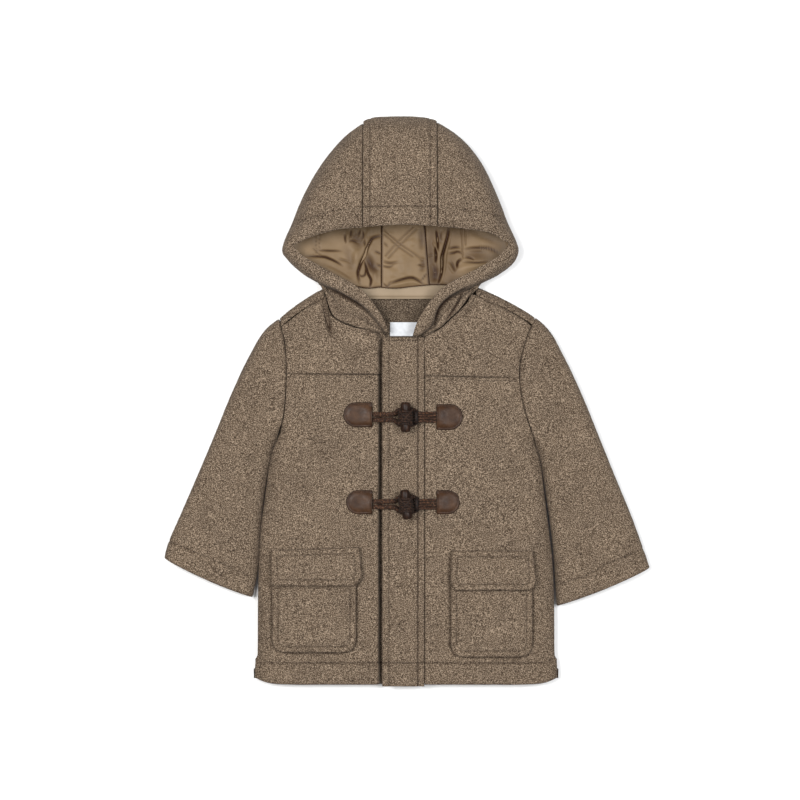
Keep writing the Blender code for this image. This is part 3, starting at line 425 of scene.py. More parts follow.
def sheet(name, grids, kind, wall, flip=False, smooth=True):
    """Cloth: grids of section points, drawn through smoothly, moved by the piece's own details, with a wall."""
    closed = name in CLOTH["closed"]
    shells = []
    edge = EDGES.get(name, 1.0 if kind == "wool" else 0.35)
    for k, rows in enumerate(grids):
        g = np.asarray(rows, float)
        kv, ku = distances(g), distances(g.transpose(1, 0, 2))
        lines_v, lines_u = LINES.get(name, ((), ()))
        spacing = SPACINGS.get(name, SPACING) * 1
        if name in GRADED:
            av, au = (graded(total, stretches) for total, stretches in zip((kv[-1], ku[-1]), GRADED[name]))
        else:
            av = sample_at(kv[-1], spacing, False, lines_v)
            au = sample_at(ku[-1], spacing, closed, lines_u)
        g = through(g, kv, av)
        g = through(g.transpose(1, 0, 2), ku, au, closed).transpose(1, 0, 2)
        g[..., 2] = np.maximum(g[..., 2], 0.0)  # nothing sinks below where the coat lies
        n = grid_normals(g, closed)
        if flip:
            n = -n
        ends = OPEN_ENDS.get(name, [()] * len(grids))[k]
        bv = np.minimum(av if "v0" not in ends else 1e3, kv[-1] - av if "v1" not in ends else 1e3)[:, None]
        bu = np.full(len(au), 1e3)[None] if closed else np.minimum(au, ku[-1] - au)[None]
        border = np.minimum(bv, bu) * np.ones(g.shape[:2])
        rnd = 1 - np.sqrt(1 - (1 - np.clip(border / 2.7, 0, 1)) ** 2)
        move = -edge * rnd
        if kind == "wool":
            p = g.reshape(-1, 3)
            up = np.clip(n[..., 2].ravel() * 3, 0, 1)
            move = move + ((0.13 * hash_noise(p / 2.1, 3) + (0.28 * hash_noise(p / 15.0, 5) + 0.45 * hash_noise(p / 42.0, 9)) * up) * np.clip(border.ravel() / 5, 0.15, 1)).reshape(border.shape)
        dark = np.zeros(border.shape)
        if name in DETAILS:
            more, dark = DETAILS[name](g[..., 0], g[..., 1], g[..., 2], n[..., 2], border, av, au)
            move = move + more
        if kind == "wool":
            # Painted shade: darker along the seam borders, and on raised faces turning away from the light.
            much, reach, wide = BORDER_PAINTED_SHADE.get(name, (0.42, 0.9, 0.12))
            dark = dark + much * np.exp(-(border / reach) ** 2) + wide * np.exp(-(border / 3.2) ** 2)
            turned = SIDE_PAINTED_SHADE[0] * (1 - np.clip((n[..., 2] - 0.1) / 0.88, 0, 1)) + SIDE_PAINTED_SHADE[1] * (1 - np.clip(n[..., 2] / 0.35, 0, 1))
            dark = np.maximum(dark, turned * np.clip((g[..., 2] - 3) / 3, 0, 1))
        thick = wall
        if name in THIN:
            press = np.max([np.exp(-((g[..., 0] - cx) ** 2 + (g[..., 1] - cy) ** 2) / reach ** 2) for cx, cy, reach in THIN[name]], axis=0)
            thick = (wall * (1 - 0.85 * press))[..., None]
        if name.startswith("hood_lining"):  # its face towards the hood's inside is the one that shows
            outer = g - n * (edge * rnd)[..., None]
            inner = g - n * (wall + move)[..., None]
            painted_shade_outer, painted_shade_inner = np.zeros(border.shape), dark
        else:
            painted_shade_outer, painted_shade_inner = dark, 0.35 * dark
            outer = g + n * move[..., None]
            inner = g - n * (np.maximum(thick - (edge * rnd)[..., None], 0.3) if name in THIN else (wall - edge * rnd)[..., None])
        outer[..., 2] = np.maximum(outer[..., 2], 0.03)
        inner[..., 2] = np.maximum(inner[..., 2], 0.03)
        if flip:
            outer, inner = outer[:, ::-1], inner[:, ::-1]
            painted_shade_outer, painted_shade_inner = painted_shade_outer[:, ::-1], painted_shade_inner[:, ::-1]
        shells.append((outer, inner, closed, painted_shade_outer, painted_shade_inner))
    mesh = mesh_from_grids(name + "_cloth", shells)
    obj = bpy.data.objects.new(name + "_cloth", mesh)
    finish_piece(obj, KINDS.get(name, kind), name)
    keep_surface(name, obj)
    return obj


def keep_surface(name, obj):
    mesh = obj.data
    mesh.calc_loop_triangles()
    co = np.empty(len(mesh.vertices) * 3, np.float32)
    mesh.vertices.foreach_get("co", co)
    tri = np.empty(len(mesh.loop_triangles) * 3, np.int32)
    mesh.loop_triangles.foreach_get("vertices", tri)
    SURFACES[name] = BVHTree.FromPolygons([Vector(v) for v in co.reshape(-1, 3).tolist()], tri.reshape(-1, 3).tolist(), all_triangles=True)


def outline_distance(outline, x, y):
    a = np.asarray(outline, float)
    b = np.roll(a, -1, axis=0)
    best = np.full(np.shape(x), 1e9)
    for p, q in zip(a, b):
        d = q - p
        t = np.clip(((x - p[0]) * d[0] + (y - p[1]) * d[1]) / max(d @ d, 1e-9), 0, 1)
        best = np.minimum(best, np.hypot(p[0] + d[0] * t - x, p[1] + d[1] * t - y))
    return best


def inside(outline, x, y):
    a = np.asarray(outline, float)
    b = np.roll(a, -1, axis=0)
    odd = np.zeros(np.shape(x), bool)
    for p, q in zip(a, b):
        cross = (p[1] > y) != (q[1] > y)
        at = p[0] + (y - p[1]) * (q[0] - p[0]) / np.where(q[1] == p[1], 1e-9, q[1] - p[1])
        odd ^= cross & (x < at)
    return odd


def plate(name, outline, z, wall, kind):
    """A flat piece from its outline, with rounded edges; its own details move its faces."""
    pts = np.array(outline, float)
    area = np.sum(pts[:, 0] * np.roll(pts[:, 1], -1) - pts[:, 1] * np.roll(pts[:, 0], -1))
    if area < 0:
        pts = pts[::-1]
    step = PLATE_STEP.get(kind, 2.0) * 1.0
    loop = []
    for p, q in zip(pts, np.roll(pts, -1, axis=0)):
        n = max(1, int(round(np.linalg.norm(q - p) / step)))
        loop += [p + (q - p) * i / n for i in range(n)]
    loop = np.array(loop)
    tangent = np.roll(loop, -1, axis=0) - np.roll(loop, 1, axis=0)
    tangent /= np.linalg.norm(tangent, axis=1, keepdims=True)
    normal = np.stack([-tangent[:, 1], tangent[:, 0]], 1)
    reach = 2.2 if kind in ("wool", "satin") else 1.0
    rings = [reach * s for s in (0.12, 0.35, 0.65, 1.0)] + PLATE_RINGS.get(name, [])
    inner = []
    for d in rings:
        p = loop + normal * d
        good = inside(pts, p[:, 0], p[:, 1]) & (outline_distance(pts, p[:, 0], p[:, 1]) > d - 0.03)
        inner.append(p[good])
    lo, hi = pts.min(0), pts.max(0)
    gx, gy = np.meshgrid(np.arange(lo[0], hi[0], step), np.arange(lo[1], hi[1], step))
    gx = gx + np.where((np.arange(gx.shape[0]) % 2)[:, None], step / 2, 0)
    gx, gy = gx.ravel(), gy.ravel()
    far = outline_distance(pts, gx, gy)
    good = inside(pts, gx, gy) & (far > rings[3] + 0.6 * step)
    for d in rings[4:]:
        good &= np.abs(far - d) > 0.7
    inner.append(np.stack([gx[good], gy[good]], 1))
    flat = np.vstack([loop] + inner)
    count = len(loop)
    out = delaunay_2d_cdt([Vector(p) for p in flat.tolist()], [(i, (i + 1) % count) for i in range(count)], [list(range(count))], 1, 1e-6)
    xy = np.array([tuple(v) for v in out[0]])
    tris = np.array([f if len(f) == 3 else f[:3] for f in out[2]])
    a, b, c = xy[tris[:, 0]], xy[tris[:, 1]], xy[tris[:, 2]]
    turn = (b[:, 0] - a[:, 0]) * (c[:, 1] - a[:, 1]) - (b[:, 1] - a[:, 1]) * (c[:, 0] - a[:, 0])
    tris[turn < 0] = tris[turn < 0][:, ::-1]
    border = outline_distance(pts, xy[:, 0], xy[:, 1])
    edge = min(1.0, wall * 0.42)
    rnd = 1 - np.sqrt(1 - (1 - np.clip(border / reach, 0, 1)) ** 2)
    top, low = PLATE_SHAPE.get(name, (None, None))
    t = z + wall - edge * rnd + (top(xy[:, 0], xy[:, 1], border) if top else 0)
    u = z + edge * rnd + (low(xy[:, 0], xy[:, 1], border) if low else 0)
    if kind == "wool":
        p = np.column_stack([xy, np.zeros(len(xy))])
        t = t + (0.12 * hash_noise(p / 2.1, 3) + 0.25 * hash_noise(p / 15.0, 5)) * np.clip(border / 4, 0.2, 1)
    n = len(xy)
    verts = np.vstack([np.column_stack([xy, t]), np.column_stack([xy, u])])
    edges = np.concatenate([tris[:, [0, 1]], tris[:, [1, 2]], tris[:, [2, 0]]])
    key = {tuple(e) for e in edges.tolist()}
    rim = [(i, j) for i, j in edges.tolist() if (j, i) not in key]
    faces = tris.tolist() + (tris[:, ::-1] + n).tolist() + [(j, i, i + n, j + n) for i, j in rim]
    mesh = bpy.data.meshes.new(name + "_cloth")
    mesh.from_pydata((verts * MM).tolist(), [], faces)
    mesh.validate()
    mesh.shade_smooth()
    if kind == "wool":
        # Painted shade along the edges and the sewn line 6 mm in.
        dark = 0.55 * np.exp(-(border / 1.0) ** 2) + 0.36 * np.exp(-((border - 6.0) / 0.75) ** 2) * (name not in KINDS)
        set_painted_shade_and_tone(mesh, np.concatenate([dark, dark]))
    elif kind == "leather":
        # Painted shade along the hide's edge and its stitch line.
        dark = 0.75 * np.exp(-(border / 1.0) ** 2) + 0.3 * np.exp(-((border - 2.1) / 0.5) ** 2)
        set_painted_shade_and_tone(mesh, np.concatenate([dark, dark]))
    obj = bpy.data.objects.new(name + "_" + PLATE_WORD.get(kind, "cloth"), mesh)
    finish_piece(obj, KINDS.get(name, kind), name)
    keep_surface(name, obj)
    return obj


def on_top(names, x, y, high=80.0):
    """Height in mm of the topmost of these pieces at (x, y), and its normal."""
    best, normal = None, Vector((0, 0, 1))
    for name in names:
        hit = SURFACES[name].ray_cast(Vector((x * MM, y * MM, high * MM)), Vector((0, 0, -1)))
        if hit[0] is not None and (best is None or hit[0].z / MM > best):
            best, normal = hit[0].z / MM, hit[1]
    return best, normal


STITCHES = {}  # kind: list of (centre, direction, length)


def stitch(names, line, kind="thread", length=2.9, gap=1.5, sink=0.05, smooth=True, high=80.0):
    """Topstitching along a line of (x, y), laid on the surface of these pieces."""
    line = smooth_line(line, 10) if smooth and len(line) > 2 else np.asarray(line, float)
    seg = np.linalg.norm(np.diff(line, axis=0), axis=1)
    run = np.concatenate([[0.0], np.cumsum(seg)])
    count = max(1, int(run[-1] / (length + gap)))
    for k in range(count):
        mid = (k + 0.5) * run[-1] / count
        ends = []
        for s in (mid - length / 2, mid + length / 2):
            x, y = np.interp(s, run, line[:, 0]), np.interp(s, run, line[:, 1])
            z, _ = on_top(names, x, y, high)
            if z is None:
                break
            ends.append(np.array((x, y, z - sink)))
        if len(ends) == 2 and abs(ends[0][2] - ends[1][2]) < 3:
            STITCHES.setdefault(kind, []).append(ends)


def capsule_mesh(name, pairs, radius, rise_mm=0.25, sides=6):
    """Many short threads, each humped in its middle, as one mesh."""
    verts, faces = [], []
    shape = [(-0.5, 0.15, -0.5), (-0.42, 0.8, 0.0), (-0.2, 1.0, 0.8), (0.2, 1.0, 0.8), (0.42, 0.8, 0.0), (0.5, 0.15, -0.5)]
    for a, b in pairs:
        d = b - a
        length = np.linalg.norm(d)
        d = d / length
        side = np.cross(d, (0, 0, 1.0))
        side /= max(np.linalg.norm(side), 1e-6)
        up = np.cross(side, d)
        mid = (a + b) / 2
        base = len(verts)
        for s, r, h in shape:
            for q in range(sides):
                t = 2 * math.pi * q / sides
                verts.append((mid + d * (s * length) + up * (h * rise_mm) + (side * math.cos(t) + up * math.sin(t)) * radius * r) * MM)
        for i in range(len(shape) - 1):
            for q in range(sides):
                q2 = (q + 1) % sides
                faces.append((base + i * sides + q, base + i * sides + q2, base + (i + 1) * sides + q2, base + (i + 1) * sides + q))
        faces.append(tuple(base + q for q in range(sides))[::-1])
        faces.append(tuple(base + (len(shape) - 1) * sides + q for q in range(sides)))
    mesh = bpy.data.meshes.new(name)
    mesh.from_pydata([tuple(v) for v in verts], [], faces)
    bm = bmesh.new()
    bm.from_mesh(mesh)
    bmesh.ops.recalc_face_normals(bm, faces=bm.faces)
    bm.to_mesh(mesh)
    bm.free()
    mesh.shade_smooth()
    return mesh


# ------------------------------------------------------------------ materials
class Nodes:
    def __init__(self, name):
        self.mat = bpy.data.materials.new(name)
        self.mat.use_nodes = True
        self.tree = self.mat.node_tree
        self.shader = self.tree.nodes["Principled BSDF"]
        self.coord = self.tree.nodes.new("ShaderNodeTexCoord").outputs["Object"]

    def node(self, kind, **values):
        n = self.tree.nodes.new(kind)
        for key, value in values.items():
            if hasattr(n, key):
                setattr(n, key, value)
            else:
                n.inputs[key].default_value = value
        return n

    def link(self, a, b):
        self.tree.links.new(a, b)

    def mapped(self, scale=(1, 1, 1), rotation=(0, 0, 0), vector=None):
        m = self.node("ShaderNodeMapping")
        m.inputs["Scale"].default_value = scale
        m.inputs["Rotation"].default_value = rotation
        self.link(vector or self.coord, m.inputs["Vector"])
        return m.outputs["Vector"]

    def noise(self, scale, detail=2.0, rough=0.5, vector=None, distortion=0.0):
        n = self.node("ShaderNodeTexNoise")
        n.inputs["Scale"].default_value = scale
        n.inputs["Detail"].default_value = detail
        n.inputs["Roughness"].default_value = rough
        n.inputs["Distortion"].default_value = distortion
        self.link(vector or self.coord, n.inputs["Vector"])
        return n.outputs["Fac"]

    def ramp(self, fac, stops):
        r = self.node("ShaderNodeValToRGB")
        e = r.color_ramp.elements
        while len(e) < len(stops):
            e.new(0.5)
        for el, (pos, col) in zip(e, stops):
            el.position = pos
            el.color = (*col, 1) if len(col) == 3 else col
        self.link(fac, r.inputs["Fac"])
        return r.outputs["Color"]

    def mix(self, fac, a, b, blend="MIX"):
        m = self.node("ShaderNodeMix", data_type="RGBA", blend_type=blend)
        for value, socket in ((fac, m.inputs[0]), (a, m.inputs[6]), (b, m.inputs[7])):
            if hasattr(value, "links"):
                self.link(value, socket)
            elif isinstance(value, tuple):
                socket.default_value = (*value, 1)
            else:
                socket.default_value = value
        return m.outputs[2]

    def with_painted_shade_and_tone(self, colour, shade_and_tone_tint=(0.16, 0.12, 0.10)):
        """The colour with painted shade, darker where the piece's points say so; on the cords this also gives their
        darker wrap.
        """
        shade_and_tone_amount = self.node("ShaderNodeAttribute", attribute_name="dark")
        return self.mix(1.0, colour, self.ramp(shade_and_tone_amount.outputs["Fac"], [(0.0, (1, 1, 1)), (1.0, shade_and_tone_tint)]), "MULTIPLY")

    def math(self, op, a, b=0.0):
        m = self.node("ShaderNodeMath", operation=op)
        for value, socket in ((a, m.inputs[0]), (b, m.inputs[1])):
            if hasattr(value, "links"):
                self.link(value, socket)
            else:
                socket.default_value = value
        return m.outputs[0]

    def bump(self, height, strength, distance, before=None):
        b = self.node("ShaderNodeBump")
        b.inputs["Strength"].default_value = strength
        b.inputs["Distance"].default_value = distance
        self.link(height, b.inputs["Height"])
        if before is not None:
            self.link(before, b.inputs["Normal"])
        return b.outputs["Normal"]

    def set(self, **values):
        for key, value in values.items():
            self.shader.inputs[key.replace("_", " ")].default_value = value


def wool_material(name, gain=1.0):
    n = Nodes(name)
    c = lambda r, g, b: (r * gain, g * gain, b * gain)
    fleck = n.noise(1120.0, 2.0, 0.7)
    base = n.ramp(fleck, [(0.34, c(0.012, 0.008, 0.0056)), (0.43, c(0.078, 0.053, 0.035)), (0.525, c(0.156, 0.109, 0.073)), (0.63, c(0.51, 0.392, 0.284))])
    fibre_a = n.noise(690.0, 2.0, 0.6, n.mapped((0.4, 2.8, 1.0), (0, 0, 0.5)), 0.4)
    fibre_b = n.noise(690.0, 2.0, 0.6, n.mapped((2.8, 0.4, 1.0), (0, 0, 0.35)), 0.4)
    light = n.ramp(fibre_a, [(0.58, (0, 0, 0)), (0.69, (1, 1, 1))])
    dark = n.ramp(fibre_b, [(0.58, (0, 0, 0)), (0.69, (1, 1, 1))])
    col = n.mix(n.math("MULTIPLY", light, 0.65), base, c(0.45, 0.350, 0.255))
    col = n.mix(n.math("MULTIPLY", dark, 0.6), col, c(0.021, 0.014, 0.010))
    patchy = n.ramp(n.noise(38.0, 3.0, 0.55), [(0.3, (0.90, 0.90, 0.90)), (0.7, (1.07, 1.07, 1.06))])
    col = n.with_painted_shade_and_tone(n.mix(1.0, col, patchy, "MULTIPLY"))
    n.link(col, n.shader.inputs["Base Color"])
    n.set(Roughness=0.95, Sheen_Weight=0.10, Sheen_Roughness=0.55, Specular_IOR_Level=0.12)
    n.shader.inputs["Sheen Tint"].default_value = (0.85, 0.72, 0.6, 1)
    pile = n.bump(n.noise(900.0, 3.0, 0.65), 0.7, 0.0006)
    n.link(n.bump(n.noise(300.0, 2.0, 0.5), 0.35, 0.0009, pile), n.shader.inputs["Normal"])
    return n.mat


def satin_material(name, lo, mid, hi, rough=0.42):
    n = Nodes(name)
    col = n.with_painted_shade_and_tone(n.ramp(n.noise(26.0, 3.0, 0.55), [(0.3, lo), (0.5, mid), (0.72, hi)]), (0.15, 0.075, 0.032))
    n.link(col, n.shader.inputs["Base Color"])
    n.set(Roughness=rough, Sheen_Weight=0.0, Specular_IOR_Level=0.15)
    crinkle = n.bump(n.noise(70.0, 3.0, 0.5, None, 0.6), 0.16, 0.0016)
    weave = n.bump(n.noise(1500.0, 1.0, 0.5, n.mapped((1.0, 0.3, 1.0))), 0.12, 0.0002, crinkle)
    n.link(weave, n.shader.inputs["Normal"])
    return n.mat


def leather_material(name):
    n = Nodes(name)
    col = n.with_painted_shade_and_tone(n.ramp(n.noise(120.0, 4.0, 0.6), [(0.3, (0.025, 0.0105, 0.0045)), (0.55, (0.047, 0.0215, 0.0098)), (0.8, (0.080, 0.039, 0.019))]))
    n.link(col, n.shader.inputs["Base Color"])
    n.set(Specular_IOR_Level=0.15)
    n.link(n.ramp(n.noise(300.0, 3.0, 0.6), [(0.3, (0.34,) * 3), (0.7, (0.50,) * 3)]), n.shader.inputs["Roughness"])
    v = n.node("ShaderNodeTexVoronoi", feature="DISTANCE_TO_EDGE")
    v.inputs["Scale"].default_value = 950.0
    n.link(n.coord, v.inputs["Vector"])
    grain = n.bump(v.outputs["Distance"], 0.30, 0.00035)
    n.link(n.bump(n.noise(160.0, 3.0, 0.5), 0.25, 0.0009, grain), n.shader.inputs["Normal"])
    return n.mat


def horn_material(name):
    n = Nodes(name)
    streak = n.noise(160.0, 3.0, 0.6, n.mapped((2.2, 0.25, 2.2)), 1.2)
    col = n.ramp(streak, [(0.30, (0.007, 0.0035, 0.0025)), (0.52, (0.018, 0.009, 0.006)), (0.74, (0.048, 0.021, 0.010)), (0.90, (0.12, 0.058, 0.030))])
    n.link(col, n.shader.inputs["Base Color"])
    n.set(Roughness=0.36, Specular_IOR_Level=0.12)
    n.link(n.bump(n.noise(420.0, 3.0, 0.6, n.mapped((2.0, 0.4, 2.0))), 0.35, 0.0005), n.shader.inputs["Normal"])
    return n.mat


def cord_material(name):
    n = Nodes(name)
    col = n.with_painted_shade_and_tone(n.ramp(n.noise(700.0, 2.0, 0.6), [(0.32, (0.011, 0.0045, 0.0024)), (0.54, (0.036, 0.0155, 0.0078)), (0.74, (0.165, 0.075, 0.036))]))
    n.link(col, n.shader.inputs["Base Color"])
    n.set(Roughness=0.62, Sheen_Weight=0.03, Specular_IOR_Level=0.2)
    n.link(n.bump(n.noise(900.0, 2.0, 0.6), 0.4, 0.0004), n.shader.inputs["Normal"])
    return n.mat


def label_material(name):
    n = Nodes(name)
    w = n.node("ShaderNodeTexWave", bands_direction="Y")
    w.inputs["Scale"].default_value = 900.0
    n.link(n.coord, w.inputs["Vector"])
    n.link(n.ramp(n.noise(300.0, 2.0, 0.5), [(0.3, (0.52, 0.535, 0.56)), (0.7, (0.62, 0.635, 0.66))]), n.shader.inputs["Base Color"])
    n.set(Roughness=0.6, Sheen_Weight=0.2)
    n.link(n.bump(w.outputs["Fac"], 0.25, 0.0002), n.shader.inputs["Normal"])
    return n.mat


MATS = {
    "wool": wool_material("wool_melange", 0.685),
    # The neck facing is the same wool drawn darker: painted shade inside the neckline.
    "wool_painted_shade": wool_material("wool_facing_painted_shade", 0.44),
    "satin": satin_material("satin_quilted", (0.136, 0.089, 0.046), (0.172, 0.114, 0.061), (0.210, 0.142, 0.079), 0.46),
    "band": satin_material("satin_band", (0.21, 0.157, 0.101), (0.25, 0.190, 0.126), (0.285, 0.218, 0.148), 0.5),
    "leather": leather_material("leather_brown"),
    "horn": horn_material("horn_dark"),
    "cord": cord_material("cord_brown"),
    "label": label_material("label_blank"),
    "thread": wool_material("thread_taupe", 0.32),
    "leather_thread": cord_material("thread_brown"),
}

HOOD_RIGHT_EDGE = [(-44.5, 172.5), (-65.0, 171.0), (-82.0, 167.5), (-98.0, 162.5), (-107.5, 158.0), (-111.0, 153.0), (-106.0, 147.5), (-92.0, 138.5), (-74.0, 128.5), (-57.0, 119.5), (-44.0, 111.0), (-32.0, 96.5), (-23.0, 81.5), (-18.4, 69.2)]
HOOD_LEFT_EDGE = [(30.5, 173.5), (48.0, 172.0), (67.0, 170.0), (83.0, 167.0), (94.0, 161.5), (100.0, 155.0), (95.0, 148.5), (79.0, 138.0), (59.0, 127.5), (42.0, 118.5), (30.0, 109.0), (20.0, 96.0), (11.0, 81.5), (5.5, 68.6)]


# ------------------------------------------------------- seams, hems, creases
def at(*points):
    """Places given across and down from the corner of an 800 mm square, as (x, y) in mm."""
    return [(a - 407.0, 401.5 - b) for a, b in points]


def valley(x, y, points, width, depth, dark=None):
    # Unless given, the painted shade grows with the trough's depth.
    return crease(x, y, at(*points), width, depth, max(0.0, depth) * 0.12 if dark is None else dark)


def facing_up(nz):
    return np.clip(nz * 4, 0, 1)


HEM_STITCH_Y = -261.5
# (points, width, depth, and where given painted shade) of soft creases; a negative depth is a ridge
CREASES_FRONT_RIGHT = [
    ([(268, 470), (292, 482), (318, 508)], 9, 0.9), ([(270, 438), (288, 452), (300, 476)], 7, 0.8),
    ([(300, 402), (322, 440), (330, 484)], 14, 0.7), ([(346, 426), (358, 452), (362, 484)], 9, -0.6),
    ([(366, 380), (362, 396), (352, 404)], 5, 0.5), ([(364, 520), (352, 536), (340, 545)], 8, 0.6),
    ([(266, 500), (276, 530), (274, 560)], 8, 0.7), ([(300, 520), (312, 536), (306, 548)], 10, -0.6),
    ([(362, 600), (368, 630), (364, 654)], 6, 0.5), ([(262, 600), (268, 630), (264, 655)], 6, 0.5)]
CREASES_FRONT_LEFT = [
    ([(536, 452), (516, 470), (500, 500)], 9, 0.9), ([(536, 482), (520, 500), (512, 524)], 8, 0.8),
    ([(498, 392), (486, 432), (490, 470)], 14, 0.7), ([(440, 432), (432, 460), (436, 486)], 7, -0.6),
    ([(470, 520), (482, 534), (498, 542)], 9, 0.6), ([(548, 520), (540, 560), (544, 600)], 8, 0.7),
    ([(434, 520), (440, 548), (434, 580)], 7, 0.5), ([(444, 600), (438, 630), (444, 655)], 6, 0.5)]
CREASES_YOKE_RIGHT = [
    ([(318, 308), (316, 326), (322, 344)], 8, -0.8),
    ([(300, 318), (306, 336), (300, 358)], 9, 0.7), ([(342, 336), (352, 350), (368, 356)], 6, 0.5),
    ([(287, 330), (296, 340), (298, 356)], 6, 0.6)]
CREASES_YOKE_LEFT = [
    ([(474, 303), (470, 318), (458, 332)], 4, 1.1), ([(486, 312), (484, 330), (474, 348)], 8, -0.8),
    ([(506, 320), (500, 340), (506, 362)], 9, 0.7), ([(440, 340), (448, 352), (446, 368)], 6, 0.5),
    ([(519, 334), (508, 344), (504, 358)], 6, 0.6)]
CREASES_SLEEVE_RIGHT = [
    ([(268, 352), (256, 400), (250, 452)], 12, 0.9), ([(246, 392), (234, 440), (230, 500)], 10, -1.0),
    ([(272, 440), (256, 452), (246, 476)], 7, 1.2), ([(266, 470), (250, 492), (244, 520)], 7, 1.0),
    ([(216, 470), (208, 500), (210, 530)], 9, 0.8), ([(262, 520), (240, 534), (226, 552)], 8, 0.8),
    ([(192, 500), (186, 520), (192, 540)], 7, 0.6), ([(240, 340), (246, 366), (240, 390)], 9, 0.7)]
CREASES_SLEEVE_LEFT = [
    ([(536, 340), (556, 380), (570, 430)], 12, 0.9), ([(575, 440), (582, 480), (588, 522)], 8, 1.1),
    ([(560, 420), (572, 460), (574, 500)], 9, -0.9), ([(544, 452), (556, 470), (566, 500)], 7, 1.1),
    ([(552, 486), (566, 504), (574, 530)], 7, 0.9), ([(600, 480), (612, 510), (612, 540)], 9, 0.8),
    ([(560, 540), (584, 548), (600, 566)], 8, 0.8), ([(628, 530), (634, 548), (628, 562)], 6, 0.6)]
CREASES_BACK = [
    ([(330, 420), (360, 450), (420, 462)], 14, 0.8), ([(470, 410), (440, 440), (430, 500)], 14, 0.8),
    ([(300, 520), (350, 540), (380, 600)], 12, 0.7), ([(500, 520), (470, 560), (470, 610)], 12, 0.7)]
# Hood, outside.
CREASES_HOOD_RIGHT = [
    ([(352, 140), (330, 162), (312, 196)], 12, 0.8), ([(340, 176), (322, 196), (312, 222)], 10, -0.7),
    ([(300, 214), (292, 232), (290, 246)], 7, 0.7), ([(356, 186), (350, 204), (356, 222)], 6, 0.5),
    ([(320, 284.4), (326.8, 287.5), (334.4, 291.3), (342.1, 295.4), (350, 300.2), (360, 306.4), (372, 317)], 1.8, 2.0, 1.25), ([(332, 300), (341, 310), (356, 319)], 5, 1.0, 0.2),
    ([(367.7, 310), (367.9, 334)], 0.9, 0.8, 0.6)]
CREASES_HOOD_LEFT = [
    ([(448, 140), (472, 164), (488, 196)], 12, 0.8), ([(462, 176), (480, 196), (488, 220)], 10, -0.7),
    ([(500, 214), (508, 230), (511, 246)], 7, 0.7), ([(444, 186), (450, 204), (444, 222)], 6, 0.5),
    ([(472, 286.4), (461.5, 291.6), (450.8, 297.6), (441.9, 306), (437, 316), (433.6, 331)], 1.7, 2.0, 1.3),
    ([(463, 289), (460, 297), (456.9, 303.4), (452.6, 311), (446, 321)], 1.4, 1.8, 1.3), ([(446, 305), (444, 314), (440, 324)], 3.0, -0.8, 0.0)]
# Hood lining, on its floor: double sewn lines, then (points, width, depth, painted shade).
QUILT_RIGHT = [
    [(318.8, 228), (318.8, 247)], [(314.8, 228), (315.6, 248)], [(312.8, 247.6), (319.8, 254.6)], [(319.8, 247.6), (312.8, 254.6)]]
QUILT_CENTER = [
    [(413.3, 226), (399.5, 239.7), (385.5, 255)], [(416.6, 228), (403, 241.5), (388.4, 257.4)],
    [(384, 229.5), (400, 243), (423, 259.5)], [(384, 233.5), (398, 245.4), (413, 256)]]
QUILT_LEFT = [
    [(461.8, 226), (462.5, 240), (463.5, 257)], [(465.4, 226), (466, 244)]]
CREASES_LINING_RIGHT = [
    ([(317, 249.8), (330, 250.3), (342, 250.5)], 0.85, 1.3, 0.6),
    ([(305, 256.0), (321, 256.2), (328, 257.8), (335.7, 261.4), (342.5, 265.4)], 1.0, 2.0, 0.85),
    ([(337.6, 258.2), (345, 260), (351, 262)], 1.4, 0.9, 0.3),
    ([(344.6, 233), (344.8, 238), (345.9, 243)], 0.9, 1.4, 0.6), ([(351, 229), (350.4, 237)], 0.9, 1.4, 0.65),
    ([(348.6, 241.6), (352, 240), (358.7, 242.4)], 1.0, 1.4, 0.7), ([(360.6, 229), (357.4, 236)], 0.9, 1.4, 0.65),
    ([(362.5, 230), (363.1, 235.8), (360.2, 240)], 0.9, 1.4, 0.65), ([(363.8, 239), (365.2, 246)], 0.9, 1.4, 0.6),
    ([(354.4, 230), (353.6, 237)], 1.5, -1.0, 0.0), ([(347.6, 231), (347.8, 239)], 1.3, -1.0, 0.0), ([(369, 228), (367, 238)], 2.2, -1.2, 0.0),
    ([(384, 234.6), (373.3, 237.1), (369.5, 242.2), (367, 247.3), (365, 253.7), (361.2, 261.4), (358.7, 268.4), (357.7, 273.5), (359.3, 283)], 1.4, 3.0, 1.0),
    ([(364.4, 259), (367.6, 272.2), (370.8, 279.2), (370.2, 285), (368.4, 290)], 1.1, 2.0, 0.9),
    ([(358.4, 274), (361.2, 276), (365, 274.1), (366, 267)], 0.9, 1.4, 0.7),
    ([(374.5, 250.4), (378, 252), (382, 253.7)], 0.9, 1.1, 0.55), ([(376, 264), (380, 265.2), (384, 266)], 0.9, 1.1, 0.5),
    ([(366, 252), (370, 263), (377, 273)], 4.2, 2.6, 0.5), ([(350, 233), (357, 239), (363, 248)], 7.0, 1.6, 0.42), ([(357, 248), (355, 264)], 3.0, -1.4, 0.0),
    ([(345, 244), (349, 256), (351, 270)], 4.0, 1.2, 0.25), ([(326, 267), (342, 276), (358, 286)], 4.0, -1.3, 0.0),
    ([(322, 262), (338, 270), (352, 279)], 1.6, 0.6, 0.1), ([(372, 262), (375, 274), (375, 284)], 2.5, -1.3, 0.0)]
